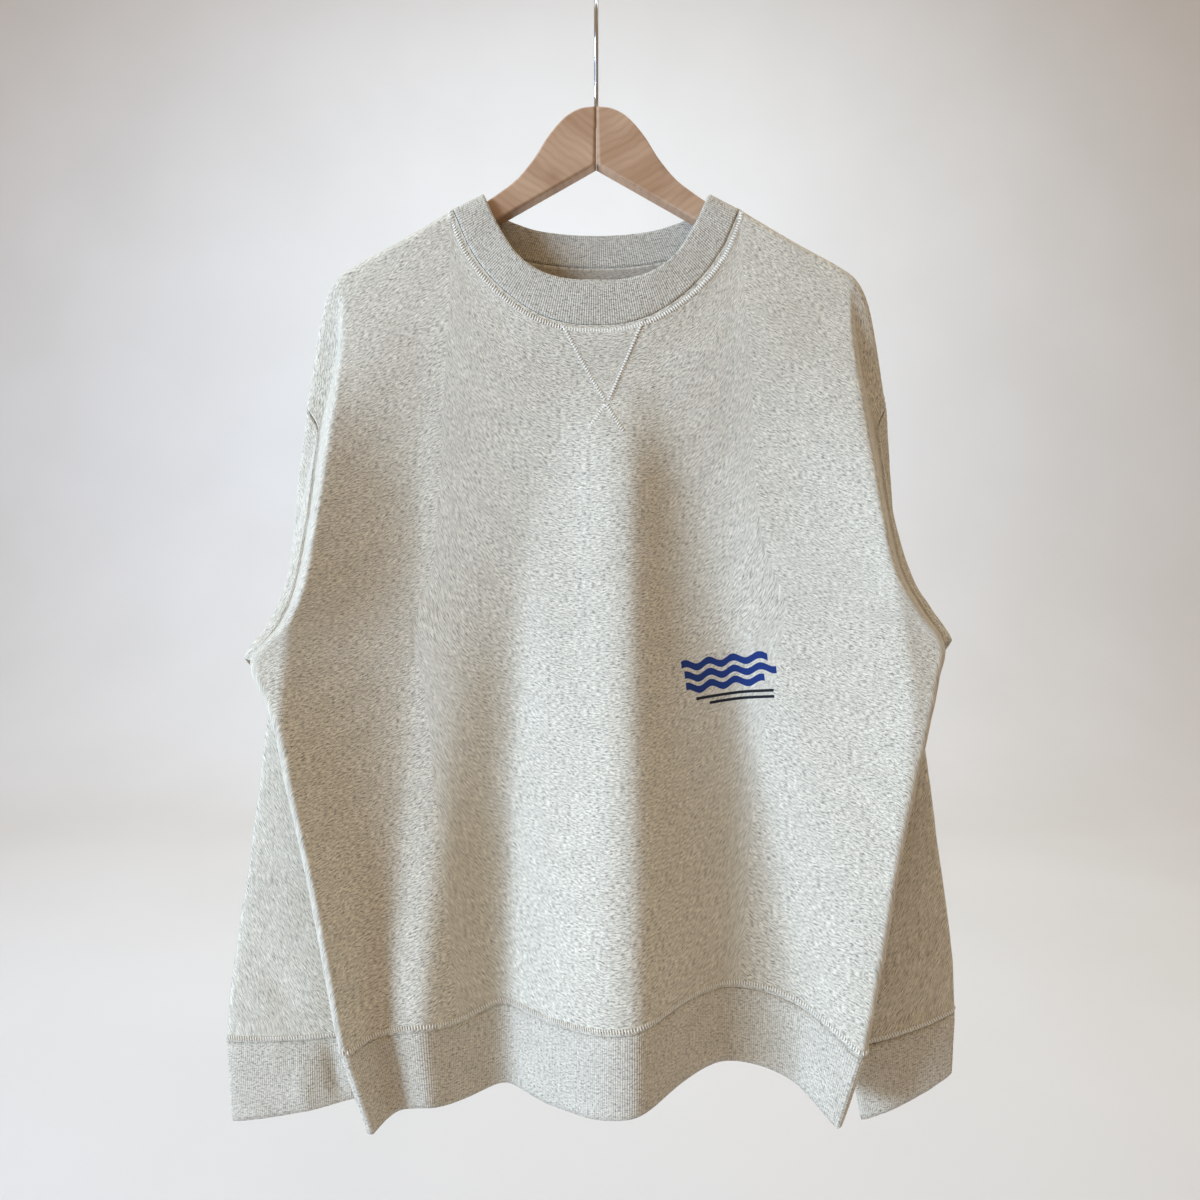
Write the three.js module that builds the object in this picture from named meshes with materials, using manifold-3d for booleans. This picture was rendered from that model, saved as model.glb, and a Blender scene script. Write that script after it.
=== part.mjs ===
// A crewneck sweatshirt hanging on a wooden coat hanger with a wire hook.
// Millimetres, +Z up, X to the viewer's right, Y away from the viewer.
// The origin is the inside top of the hook, where a rail or peg carries it.
// Left and right in the names are the viewer's, facing the front.

import * as THREE from "three";
import Module from "manifold-3d";
import { mergeVertices } from "three/addons/utils/BufferGeometryUtils.js";

const wasm = await Module();
wasm.setup();

// ---- driving sizes -------------------------------------------------------

const SEAM_GAP = 0.36; // clear gap where two cloth pieces meet
const TRIMMED_GAP = 0.9; // the same where the meeting edges turn sharply and are trimmed as well
const SHAVING = 0.06; // detail left by the trimming that is too small to keep
const TRIM_EASE = 0.46; // how far a panel's neighbours are cut back from its faces
const FLEECE = 1.8; // wall of the loopback jersey
const RIB = 2.4; // wall of the doubled rib
const PATCH = 1.0; // wall of the neck V and of the neck tape
const PATCH_LIFT = 0.35; // air between a patch and the panel it lies on

const HANGER_THICK = 14.4;
const HANGER_EDGE = 3; // rounding along the hanger's edges
const BUTT_GAP = 0.3; // glue line between the two wooden halves
const WIRE = 3.6; // hook wire diameter
const WIRE_SIDES = 12;
const HOOK_RADIUS = 20; // inside radius of the hook
const BORE = 4.4; // hole that the hook's stem stands in
const BORE_DEPTH = 20;

const SHOULDER_END = { x: 211, z: -229, step: 0.6 }; // where the front turns over the hanger's tip
const FOLD_RADIUS = 8; // turn of the cloth at the garment's side
const EDGE_TURN = 5; // straight run of the cloth into a side seam that it meets edge on
const BACK_SET_IN = 3; // the back panel turns this much further in than the front
const CREST_RADIUS = 9; // turn of the cloth over the hanger's arms
const SETTLE = 26; // fall below the shoulder seam in which the side takes its own line
const UPRIGHT = { from: 9, to: 12, settle: 40 }; // seam depth where the neck's cloth stands upright
const BODY_BOTTOM = -879; // lower end of the side seam, above the hem band
const UNDERARM = -561; // height of the underarm point, where side seam and armhole meet
const ARMHOLE_ROWS = 14; // panel rows from the shoulder down to the underarm point
const PIT_SHARE = (SHOULDER_END.z - UNDERARM) / (SHOULDER_END.z - BODY_BOTTOM);
const RIGHT_PIT_RISE = 15; // the viewer's right underarm point hangs this much higher

// Columns of half a panel: along the neck, along the shoulder and round the side; and its rows.
const FRONT_GRID = { neck: 9, shoulder: 4, turn: 3, rows: 22 };
const BACK_GRID = { neck: 6, shoulder: 3, turn: 3, rows: 22 };
const SLEEVE_RINGS = 9;
const BAND_RINGS = 2;
const ROW_BUNCHING = Math.log(PIT_SHARE) / Math.log(ARMHOLE_ROWS / FRONT_GRID.rows);

// Lengths of the pieces across and along, which turn a seam gap into a share of a surface.
const LENGTHS = {
  front: { across: 560, along: 620 },
  back: { across: 520, along: 620 },
  hemFront: { across: 560, along: 65 },
  hemBack: { across: 520, along: 65 },
  neckband: { across: 560, along: 34 },
  sleeve: { across: 300, along: 520 },
  cuff: { across: 230, along: 65 },
};

// ---- tables --------------------------------------------------------------

// Neck seam from the centre front (step 0) over the shoulder (step 1) to the centre back (step 2),
// with the free edge of the neck band beside it.
const NECK_ROWS = [
  { step: -0.25, seamX: -30, seamY: -15, seamZ: -276, edgeX: -24, edgeY: -18, edgeZ: -240.5 },
  { step: 0.0, seamX: 0, seamY: -15, seamZ: -279, edgeX: 0, edgeY: -18, edgeZ: -241.5 },
  { step: 0.25, seamX: 30, seamY: -15, seamZ: -276, edgeX: 24, edgeY: -18, edgeZ: -240.5 },
  { step: 0.45, seamX: 58, seamY: -14.5, seamZ: -264, edgeX: 46, edgeY: -17, edgeZ: -234 },
  { step: 0.63, seamX: 86, seamY: -13.5, seamZ: -241, edgeX: 66, edgeY: -16, edgeZ: -219 },
  { step: 0.79, seamX: 106, seamY: -12.5, seamZ: -214, edgeX: 82, edgeY: -14, edgeZ: -194 },
  { step: 0.9, seamX: 119.5, seamY: -11.4, seamZ: -183.5, edgeX: 92.5, edgeY: -10.8, edgeZ: -171.5 },
  { step: 1.0, seamX: 123, seamY: 0, seamZ: -178.5, edgeX: 95.5, edgeY: 0, edgeZ: -163.5 },
  { step: 1.15, seamX: 119, seamY: 11.8, seamZ: -184.5, edgeX: 91, edgeY: 11.5, edgeZ: -171 },
  { step: 1.3, seamX: 103, seamY: 13, seamZ: -200, edgeX: 80, edgeY: 14, edgeZ: -177 },
  { step: 1.6, seamX: 58, seamY: 14, seamZ: -214.5, edgeX: 48, edgeY: 15, edgeZ: -187 },
  { step: 2.0, seamX: 0, seamY: 14.5, seamZ: -220, edgeX: 0, edgeY: 15.5, edgeZ: -191 },
  { step: 2.4, seamX: -58, seamY: 14, seamZ: -214.5, edgeX: -48, edgeY: 15, edgeZ: -187 },
];

// Shoulder seam from the neck point (step 0) past the hanger's tip to the sleeve (step 1).
const SHOULDER_ROWS = [
  { step: 0.0, x: 123, y: 0, z: -178.5 },
  { step: 0.3, x: 166, y: 0, z: -204 },
  { step: 0.6, x: 211, y: 0, z: -229 },
  { step: 0.7, x: 224, y: 1, z: -241 },
  { step: 0.78, x: 233, y: 4, z: -260 },
  { step: 0.88, x: 242, y: 8, z: -297 },
  { step: 1.0, x: 249.5, y: 12, z: -340 },
];

// The body's side, top to bottom: half width to the viewer's left and right; depth of each panel's
// face where it turns into the side; the place of the front panel's seam beside it and of the back
// panel's; and how flat the cloth lies where it reaches that seam (0 edge on, 1 flat).
const SIDE_ROWS = [
  { z: -229, left: 219, right: 219, faceY: -11, backFaceY: 12, seamOut: 7, seamY: 3, backOut: 7, backY: 5, flat: 1 },
  { z: -293, left: 219, right: 221, faceY: -15, backFaceY: 11, seamOut: 12, seamY: 6, backOut: 12, backY: 11, flat: 1 },
  { z: -340, left: 224, right: 227, faceY: -19, backFaceY: 9, seamOut: 12, seamY: 3, backOut: 10, backY: 11, flat: 1 },
  { z: -400, left: 232, right: 235, faceY: -24, backFaceY: 5, seamOut: 9.4, seamY: -2.5, backOut: 7, backY: 8, flat: 1 },
  { z: -450, left: 239, right: 242, faceY: -27, backFaceY: 1, seamOut: 8, seamY: -7, backOut: 5, backY: 4, flat: 1 },
  { z: -500, left: 248, right: 252, faceY: -29, backFaceY: -3, seamOut: 7, seamY: -13, backOut: 2, backY: -1.5, flat: 1 },
  { z: -530, left: 261, right: 268, faceY: -28, backFaceY: -6, seamOut: 5, seamY: -17, backOut: 0, backY: -7, flat: 0.9 },
  { z: -561, left: 285, right: 288, faceY: -27, backFaceY: -9, seamOut: 2, seamY: -19, backOut: 0, backY: -16, flat: 0.5 },
  { z: -588, left: 276, right: 284, faceY: -31, backFaceY: -11, seamOut: 0, seamY: -18, backOut: 0, backY: -18, flat: 0 },
  { z: -616, left: 265, right: 277, faceY: -35, backFaceY: -13, seamOut: 0, seamY: -20, backOut: 0, backY: -20, flat: 0 },
  { z: -673, left: 252, right: 262, faceY: -39, backFaceY: -15, seamOut: 0, seamY: -23, backOut: 0, backY: -23, flat: 0 },
  { z: -740, left: 236, right: 247, faceY: -41, backFaceY: -17, seamOut: 0, seamY: -25, backOut: 0, backY: -25, flat: 0 },
  { z: -815, left: 221, right: 233, faceY: -42, backFaceY: -17, seamOut: 0, seamY: -26, backOut: 0, backY: -26, flat: 0 },
  { z: -879, left: 208, right: 220, faceY: -42, backFaceY: -16, seamOut: 0, seamY: -26, backOut: 0, backY: -26, flat: 0 },
  { z: -949, left: 190, right: 204, faceY: -26, backFaceY: -4, seamOut: 0, seamY: -12, backOut: 0, backY: -12, flat: 0 },
];

// Depth of the middle of each panel, how far out from the centre its flanks begin, which come
// forward from there to the sides, and the share of that distance that the left front one takes up.
const MIDDLE_ROWS = [
  { z: -229, front: -12, back: 12, reach: 211, shareLeft: 0.34 },
  { z: -293, front: -12, back: 14, reach: 212, shareLeft: 0.34 },
  { z: -340, front: -6, back: 19, reach: 217, shareLeft: 0.34 },
  { z: -400, front: 4, back: 27, reach: 226, shareLeft: 0.34 },
  { z: -450, front: 10, back: 32, reach: 236, shareLeft: 0.35 },
  { z: -500, front: 13, back: 35, reach: 247, shareLeft: 0.37 },
  { z: -560, front: 16, back: 38, reach: 257, shareLeft: 0.39 },
  { z: -620, front: 18, back: 40, reach: 257, shareLeft: 0.36 },
  { z: -740, front: 14, back: 40, reach: 238, shareLeft: 0.25 },
  { z: -815, front: 8, back: 38, reach: 230, shareLeft: 0.18 },
  { z: -900, front: 3, back: 35, reach: 220, shareLeft: 0.14 },
];
// The flanks: share of that distance that the others take up, and how all round into the middle.
const FLANK = {
  left: { rounding: 1.5 },
  right: { share: 0.52, rounding: 1.7 },
  back: { share: 0.52, rounding: 1.7 },
};

// Height of the line where each panel meets the hem band, by distance from the centre.
const HEM_ROWS = [
  { x: -200, front: -879, back: -879 },
  { x: -176, front: -875, back: -862 },
  { x: -150, front: -869, back: -852 },
  { x: -112, front: -871, back: -845 },
  { x: -80, front: -864, back: -841 },
  { x: -40, front: -864, back: -840 },
  { x: 20, front: -854, back: -838 },
  { x: 104, front: -844, back: -840 },
  { x: 140, front: -848, back: -844 },
  { x: 170, front: -856, back: -852 },
  { x: 196, front: -868, back: -867 },
  { x: 212, front: -879, back: -879 },
];

// Folds, each running from a top point to the hem and at its full depth from one height down. Depth
// is towards the viewer when positive; the two spreads are to the viewer's left and right.
const FRONT_FOLDS = [
  { topX: 24, topZ: -300, endX: 30, full: -430, depth: 21, spreadLeft: 52, spreadRight: 34, squareness: 2 },
  { topX: 36, topZ: -480, endX: 16, full: -870, depth: 43, spreadLeft: 70, spreadRight: 76, squareness: 2.6 },
  { topX: 74, topZ: -330, endX: 178, full: -640, depth: -17, spreadLeft: 60, spreadRight: 36, squareness: 2 },
  { topX: -64, topZ: -380, endX: -86, full: -620, depth: -15, spreadLeft: 46, spreadRight: 28, squareness: 2 },
  { topX: -136, topZ: -520, endX: -146, full: -860, depth: 28, spreadLeft: 56, spreadRight: 42, squareness: 2 },
];
const BACK_FOLDS = [
  { topX: -70, topZ: -420, endX: -96, full: -800, depth: -4, spreadLeft: 40, spreadRight: 48, squareness: 2 },
  { topX: 20, topZ: -380, endX: 26, full: -850, depth: 4, spreadLeft: 46, spreadRight: 46, squareness: 2 },
  { topX: 70, topZ: -330, endX: 170, full: -600, depth: -13, spreadLeft: 60, spreadRight: 46, squareness: 2 },
];
const FOLD_FOOT = -870; // height where each fold passes its end point
const FOLD_FALL = 1.4; // how fast a fold's depth falls off beside it
const SIDE_CALM = 0.16; // share of the half width beside each side that stays free of folds

// Hem band's lower edge: the place under each point of its seam.
const BAND_ROWS = [
  { x: -208, shift: 18, drop: -70, backward: 14 },
  { x: -176, shift: 12, drop: -66, backward: 8 },
  { x: -136, shift: 3, drop: -65, backward: 3 },
  { x: -80, shift: 2, drop: -69, backward: 1 },
  { x: 10, shift: 0, drop: -66, backward: 0 },
  { x: 104, shift: -1, drop: -64, backward: 1 },
  { x: 170, shift: -5, drop: -66, backward: 5 },
  { x: 220, shift: -16, drop: -64, backward: 14 },
];

// Sleeves along their length (step 0 at the armhole, 1 at the cuff seam): the top edge, the underarm
// edge, the depth of each and half the air between the sleeve's two faces.
const SLEEVE_ROWS = {
  left: [
    { step: 0.0, topX: 249.5, topZ: -340, topY: 12, underX: 287, underZ: -561, underY: -18, room: 1 },
    { step: 0.06, topX: 254, topZ: -374, topY: 13, underX: 295, underZ: -560, underY: -13, room: 2.4 },
    { step: 0.15, topX: 261, topZ: -425, topY: 15, underX: 286, underZ: -578, underY: 6, room: 5 },
    { step: 0.32, topX: 275, topZ: -519, topY: 20, underX: 236, underZ: -622, underY: 30, room: 8 },
    { step: 0.5, topX: 293, topZ: -620, topY: 28, underX: 176, underZ: -682, underY: 36, room: 8 },
    { step: 0.7, topX: 309, topZ: -738, topY: 31, underX: 162, underZ: -762, underY: 37, room: 8 },
    { step: 0.88, topX: 325, topZ: -845, topY: 32, underX: 184, underZ: -848, underY: 35, room: 9 },
    { step: 1.0, topX: 330, topZ: -904, topY: 32, underX: 208, underZ: -897, underY: 32, room: 8 },
  ],
  right: [
    { step: 0.0, topX: 249.5, topZ: -340, topY: 12, underX: 290, underZ: -546, underY: -18, room: 1 },
    { step: 0.06, topX: 252, topZ: -372, topY: 13, underX: 298, underZ: -545, underY: -13, room: 2.4 },
    { step: 0.15, topX: 257, topZ: -425, topY: 15, underX: 290, underZ: -566, underY: 6, room: 5 },
    { step: 0.32, topX: 270, topZ: -519, topY: 20, underX: 238, underZ: -622, underY: 30, room: 8 },
    { step: 0.5, topX: 289, topZ: -620, topY: 28, underX: 180, underZ: -682, underY: 36, room: 8 },
    { step: 0.7, topX: 306, topZ: -738, topY: 31, underX: 168, underZ: -762, underY: 37, room: 8 },
    { step: 0.88, topX: 318, topZ: -830, topY: 32, underX: 196, underZ: -856, underY: 35, room: 9 },
    { step: 1.0, topX: 320, topZ: -878, topY: 32, underX: 226, underZ: -910, underY: 32, room: 8 },
  ],
};
// Cuffs: the seam runs from topOut to topIn, the free edge from endOut to endIn.
const CUFFS = {
  left: { topOut: [330, -904], topIn: [208, -897], endOut: [325, -975], endIn: [207, -952] },
  right: { topOut: [320, -878], topIn: [226, -910], endOut: [317, -932], endIn: [238, -974] },
};
const CUFF_Y = 32;
const CUFF_ROOM = 8;
const TUBE_BLUNTNESS = 0.6; // lower is squarer: how soon a sleeve opens beside its two edges
// Share of the sleeve's length in which it loses the shape of the armhole's loop.
const ARMHOLE_FADE = { top: 0.3, under: 0.16, frontDepth: 0.3, backDepth: 0.12 };

// Neck V, in the front panel's columns from its centre: its corners at the neck seam and its tip.
const NECK_V = { left: -2.25, right: 3.0, tip: 0.7, tipWidth: 0.1, top: 0.003, end: 0.109, cells: 6 };

// Neck tape inside the back: its half width in that panel's columns, and its top and lower edge.
const TAPE = { halfWidth: 4, top: 0.003, end: 0.017, cells: 12 };

// Outline of one half of the wooden hanger, from its crown along the top and back underneath.
const HANGER_ROWS = [
  { x: 0, z: -89.5 },
  { x: 14, z: -91.5 },
  { x: 27, z: -99 },
  { x: 41, z: -115 },
  { x: 53, z: -134 },
  { x: 67, z: -151 },
  { x: 80, z: -161.5 },
  { x: 97, z: -173 },
  { x: 214, z: -237 },
  { x: 214, z: -254 },
  { x: 86, z: -187.5 },
  { x: 0, z: -138.7 },
];

// Centre line of the hook's stem, in depth and height, up to where its round top begins.
const STEM_ROWS = [
  { y: 0, z: -108 },
  { y: 0, z: -92 },
  { y: 0, z: -80 },
  { y: -5, z: -68 },
  { y: -14, z: -55 },
  { y: -20.5, z: -40 },
];
const HOOK_STEPS = 10; // points along the round top
const HOOK_END = { straight: 9, tip: 17, inward: 0.5 }; // run of the free end below the round top
const HOOK_RINGS = 44;

// ---- materials -----------------------------------------------------------

const heather = new THREE.MeshStandardMaterial({ color: 0xc9c4b6, roughness: 0.95, metalness: 0 });
const heatherRib = new THREE.MeshStandardMaterial({ color: 0xc0bbab, roughness: 0.95, metalness: 0 });
const neckTape = new THREE.MeshStandardMaterial({ color: 0xb9b3a3, roughness: 0.95, metalness: 0 });
const paleWood = new THREE.MeshStandardMaterial({ color: 0xc79c7c, roughness: 0.55, metalness: 0 });
const chrome = new THREE.MeshStandardMaterial({ color: 0xb9bcc0, roughness: 0.2, metalness: 1 });

// ---- small tools ---------------------------------------------------------

const object = new THREE.Group();

function mix(a, b, share) {
  return a + (b - a) * share;
}

function smooth(from, to, value) {
  const share = Math.min(Math.max((value - from) / (to - from), 0), 1);
  return share * share * (3 - 2 * share);
}

// Reads a table at one value of its key column, on smooth curves through its rows.
function readTable(rows, key, value) {
  const rising = rows[rows.length - 1][key] > rows[0][key] ? 1 : -1;
  let index = 0;
  while (index < rows.length - 2 && rising * (value - rows[index + 1][key]) > 0) {
    index += 1;
  }
  const low = rows[index];
  const high = rows[index + 1];
  const before = rows[Math.max(index - 1, 0)];
  const after = rows[Math.min(index + 2, rows.length - 1)];
  const span = high[key] - low[key];
  const share = Math.min(Math.max((value - low[key]) / span, 0), 1);
  const found = {};
  for (const name of Object.keys(low)) {
    const slopeLow = ((high[name] - before[name]) / (high[key] - before[key])) * span;
    const slopeHigh = ((after[name] - low[name]) / (after[key] - low[key])) * span;
    const a = share * share;
    const b = a * share;
    found[name] =
      (2 * b - 3 * a + 1) * low[name] + (b - 2 * a + share) * slopeLow +
      (3 * a - 2 * b) * high[name] + (b - a) * slopeHigh;
  }
  return found;
}

// A wall of cloth: a thin box bent onto a surface, half of it on each side.
function bendWall(surface, across, along, wall, lift = 0) {
  const geometry = new THREE.BoxGeometry(1, 1, 1, across, along, 1);
  const spots = geometry.attributes.position;
  const near = 1e-3;
  for (let i = 0; i < spots.count; i += 1) {
    const u = spots.getX(i) + 0.5;
    const v = spots.getY(i) + 0.5;
    const alongU = surface(Math.min(u + near, 1), v).sub(surface(Math.max(u - near, 0), v));
    const alongV = surface(u, Math.min(v + near, 1)).sub(surface(u, Math.max(v - near, 0)));
    const out = alongU.cross(alongV).normalize();
    const spot = surface(u, v).addScaledVector(out, lift + spots.getZ(i) * wall);
    spots.setXYZ(i, spot.x, spot.y, spot.z);
  }
  return mergePoints(geometry);
}

function mergePoints(geometry) {
  geometry.deleteAttribute("normal");
  geometry.deleteAttribute("uv");
  return mergeVertices(geometry, 1e-4);
}

function toSolid(geometry) {
  return new wasm.Manifold(new wasm.Mesh({
    numProp: 3,
    vertProperties: new Float32Array(geometry.attributes.position.array),
    triVerts: new Uint32Array(geometry.index.array),
  }));
}

function toGeometry(solid) {
  const mesh = solid.getMesh();
  const geometry = new THREE.BufferGeometry();
  geometry.setAttribute("position", new THREE.BufferAttribute(mesh.vertProperties, 3));
  geometry.setIndex(new THREE.BufferAttribute(mesh.triVerts, 1));
  return geometry;
}

// Cuts a piece back from its neighbours and drops the shavings.
function trim(geometry, cutters) {
  let solid = toSolid(geometry);
  for (const cutter of cutters) {
    solid = solid.subtract(cutter);
  }
  const pieces = solid.simplify(SHAVING).decompose().sort((a, b) => b.volume() - a.volume());
  return toGeometry(pieces[0]);
}

function addMesh(name, geometry, material) {
  geometry.computeVertexNormals();
  const mesh = new THREE.Mesh(geometry, material);
  mesh.name = name;
  object.add(mesh);
}

// ---- the body's surfaces -------------------------------------------------

// Side of the body at one height, with the half width on that side.
function bodySide(z, side) {
  const row = readTable(SIDE_ROWS, "z", z);
  return { ...row, x: side < 0 ? row.left : row.right };
}

// Depth of a set of folds at one place.
function foldDepth(folds, x, z, edge) {
  const calm = smooth(0, SIDE_CALM, 1 - Math.abs(x) / edge);
  let depth = 0;
  for (const fold of folds) {
    const centre = mix(fold.topX, fold.endX, (fold.topZ - z) / (fold.topZ - FOLD_FOOT));
    const spread = x < centre ? fold.spreadLeft : fold.spreadRight;
    const away = Math.abs(x - centre) / spread;
    const falling = Math.exp(-Math.pow(away, fold.squareness) * FOLD_FALL);
    depth += fold.depth * smooth(fold.topZ, fold.full, z) * falling;
  }
  return depth * calm;
}

// Depth of a panel's face at one place: its middle, the flank beside it and the folds.
function faceDepth(isFront, side, x, z, inner, edgeY) {
  const middle = readTable(MIDDLE_ROWS, "z", z);
  const middleY = isFront ? middle.front : middle.back;
  const frontFlank = side < 0 ? FLANK.left : FLANK.right;
  const flank = isFront ? frontFlank : FLANK.back;
  const outer = Math.min(inner, middle.reach);
  const share = flank.share ?? middle.shareLeft;
  const inward = Math.min(Math.max(1 - Math.abs(x) / outer, 0) / share, 1);
  const open = mix(edgeY, middleY, 1 - Math.pow(1 - inward, flank.rounding));
  return open - foldDepth(isFront ? FRONT_FOLDS : BACK_FOLDS, x, z, inner);
}

// One of the body's panels. across runs 0 to 1 from the viewer's left seam to the right one,
// down runs 0 to 1 from neck and shoulder seam to the hem band's seam.
function bodyPoint(isFront, across, down) {
  const grid = isFront ? FRONT_GRID : BACK_GRID;
  const column = Math.abs(across * 2 - 1) * (grid.neck + grid.shoulder + grid.turn);
  const side = across < 0.5 ? -1 : 1;
  if (column <= grid.neck + grid.shoulder) {
    return facePoint(isFront, side, column, down);
  }
  return turnPoint(isFront, side, (column - grid.neck - grid.shoulder) / grid.turn, down);
}

// Top edge of a panel's face: the neck seam, then the shoulder seam as far as the hanger's tip.
function topEdge(isFront, column) {
  const grid = isFront ? FRONT_GRID : BACK_GRID;
  if (column < grid.neck) {
    const step = column / grid.neck;
    const row = readTable(NECK_ROWS, "step", isFront ? step : 2 - step);
    return { x: row.seamX, y: row.seamY, z: row.seamZ };
  }
  return readTable(SHOULDER_ROWS, "step", ((column - grid.neck) / grid.shoulder) * SHOULDER_END.step);
}

// How far a row is raised at the viewer's right by the higher underarm point.
function pitRise(side, down) {
  if (side < 0) {
    return 0;
  }
  return RIGHT_PIT_RISE * (down < PIT_SHARE ? smooth(0, PIT_SHARE, down) : 1 - smooth(PIT_SHARE, 1, down));
}

function hemLine(isFront, x) {
  const row = readTable(HEM_ROWS, "x", x);
  return isFront ? row.front : row.back;
}

function facePoint(isFront, side, column, down) {
  const grid = isFront ? FRONT_GRID : BACK_GRID;
  const top = topEdge(isFront, column);
  const row = bodySide(mix(SHOULDER_END.z, BODY_BOTTOM, down), side);
  const inner = row.x - FOLD_RADIUS;
  const x = (side * top.x * inner) / SHOULDER_END.x;
  const bottomEdge = bodySide(BODY_BOTTOM, side).x - FOLD_RADIUS;
  const hem = hemLine(isFront, (side * top.x * bottomEdge) / SHOULDER_END.x);
  const rise = pitRise(side, down) * Math.pow(column / (grid.neck + grid.shoulder), 2);
  const z = mix(top.z, hem, down) + rise;
  const below = Math.max(top.z - z, 0);
  const edgeY = isFront ? row.faceY : row.backFaceY;
  const face = faceDepth(isFront, side, x, z, inner, edgeY);
  // At the neck the cloth is already upright; on the shoulder it rolls over the hanger.
  const upright = smooth(UPRIGHT.from, UPRIGHT.to, Math.abs(top.y));
  const blend = mix(crestTurn(below), smooth(0, UPRIGHT.settle, below), upright);
  return new THREE.Vector3(x, mix(top.y, face, blend), z);
}

// Share of the way from the top of a rounded crest to the face below it.
function crestTurn(below) {
  return Math.sqrt(1 - Math.pow(1 - Math.min(below / CREST_RADIUS, 1), 2));
}

// The turn of a panel round the garment's side, out to its armhole seam or side seam.
function turnPoint(isFront, side, share, down) {
  const top = readTable(SHOULDER_ROWS, "step", mix(SHOULDER_END.step, 1, share));
  // Rows start on the sloping shoulder seam and run level from the underarm point down.
  const slope = Math.max(1 - down / PIT_SHARE, 0);
  const level = mix(SHOULDER_END.z, BODY_BOTTOM, down) + (top.z - SHOULDER_END.z) * slope;
  const row = bodySide(level, side);
  const z = level + pitRise(side, down);
  const faceY = isFront ? row.faceY : row.backFaceY;
  const outward = Math.max(isFront ? row.seamOut : row.backOut, 0);
  const flat = Math.max(row.flat, 0);
  const seamY = isFront ? row.seamY : row.backY;
  const edgeOn = EDGE_TURN * (1 - flat) * (isFront ? -1 : 1);
  const inner = row.x - FOLD_RADIUS;
  const kept = 1 - share;
  const weights = [kept ** 3, 3 * kept * kept * share, 3 * kept * share * share, share ** 3];
  const turned = isFront ? row.x : row.x - flat * BACK_SET_IN;
  const xs = [inner, turned, row.x, row.x + outward];
  const ys = [faceY, faceY, seamY + edgeOn, seamY];
  let x = 0;
  let y = 0;
  weights.forEach((weight, i) => {
    x += weight * xs[i];
    y += weight * ys[i];
  });
  const below = Math.max(top.z - z, 0);
  const settled = smooth(0, SETTLE, below);
  return new THREE.Vector3(side * mix(top.x, x, settled), mix(top.y, y, crestTurn(below)), z);
}

// Lets a piece's surface stop half a seam gap short of each of its edges.
function inset(point, lengths, gap = SEAM_GAP) {
  const across = gap / 2 / lengths.across;
  const along = gap / 2 / lengths.along;
  return (u, v) => point(mix(across, 1 - across, u), mix(along, 1 - along, v));
}

// Rows lie closer together near the shoulders, and one of them meets the underarm point.
function rowShare(v) {
  return Math.pow(v, ROW_BUNCHING);
}

function columns(grid) {
  return 2 * (grid.neck + grid.shoulder + grid.turn);
}

function frontSurface(u, v) {
  return bodyPoint(true, u, rowShare(1 - v));
}

function backSurface(u, v) {
  return bodyPoint(false, 1 - u, rowShare(1 - v));
}

// The panels again, a little thicker and uncut, to trim their neighbours with.
function panelCutters() {
  const wall = FLEECE + 2 * TRIM_EASE;
  return {
    front: toSolid(bendWall(frontSurface, columns(FRONT_GRID), FRONT_GRID.rows, wall)),
    back: toSolid(bendWall(backSurface, columns(BACK_GRID), BACK_GRID.rows, wall)),
  };
}

function addPanels(cutters) {
  const front = inset(frontSurface, LENGTHS.front);
  const back = inset(backSurface, LENGTHS.back);
  const frontWall = bendWall(front, columns(FRONT_GRID), FRONT_GRID.rows, FLEECE);
  const backWall = bendWall(back, columns(BACK_GRID), BACK_GRID.rows, FLEECE);
  addMesh("front_panel", trim(frontWall, []), heather);
  addMesh("back_panel", trim(backWall, [cutters.front]), heather);
}

// ---- hem band ------------------------------------------------------------

// down runs 0 to 1 from the band's seam to its free edge.
function bandPoint(isFront, across, down) {
  const seam = bodyPoint(isFront, across, 1);
  const row = readTable(BAND_ROWS, "x", seam.x);
  const y = seam.y + row.backward * down;
  return new THREE.Vector3(seam.x + row.shift * down, y, seam.z + row.drop * down);
}

function addHemBand() {
  const front = inset((u, v) => bandPoint(true, u, 1 - v), LENGTHS.hemFront);
  const back = inset((u, v) => bandPoint(false, 1 - u, 1 - v), LENGTHS.hemBack);
  addMesh("hem_band_front", bendWall(front, columns(FRONT_GRID), BAND_RINGS, RIB), heatherRib);
  addMesh("hem_band_back", bendWall(back, columns(BACK_GRID), BAND_RINGS, RIB), heatherRib);
}

// ---- neck ----------------------------------------------------------------

// round runs 0 to 1 once round the neck from the centre back, in the panels' own columns;
// rise runs 0 to 1 from the seam to the free edge.
function neckPoint(round, rise) {
  const half = FRONT_GRID.neck + BACK_GRID.neck;
  const column = Math.abs(round * 2 - 1) * half;
  const beyond = column - FRONT_GRID.neck;
  const step = beyond < 0 ? column / FRONT_GRID.neck : 1 + beyond / BACK_GRID.neck;
  const side = round < 0.5 ? -1 : 1;
  const row = readTable(NECK_ROWS, "step", step);
  const x = mix(row.seamX, row.edgeX, rise) * side;
  return new THREE.Vector3(x, mix(row.seamY, row.edgeY, rise), mix(row.seamZ, row.edgeZ, rise));
}

// The V at the front of the neck, on the front panel.
function neckVPoint(u, v) {
  const left = mix(NECK_V.left, NECK_V.tip - NECK_V.tipWidth, v);
  const right = mix(NECK_V.right, NECK_V.tip + NECK_V.tipWidth, v);
  const column = mix(left, right, u) / columns(FRONT_GRID);
  return bodyPoint(true, 0.5 + column, mix(NECK_V.top, NECK_V.end, v));
}

function tapePoint(u, v) {
  const column = mix(TAPE.halfWidth, -TAPE.halfWidth, u) / columns(BACK_GRID);
  return bodyPoint(false, 0.5 + column, mix(TAPE.end, TAPE.top, v));
}

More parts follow.
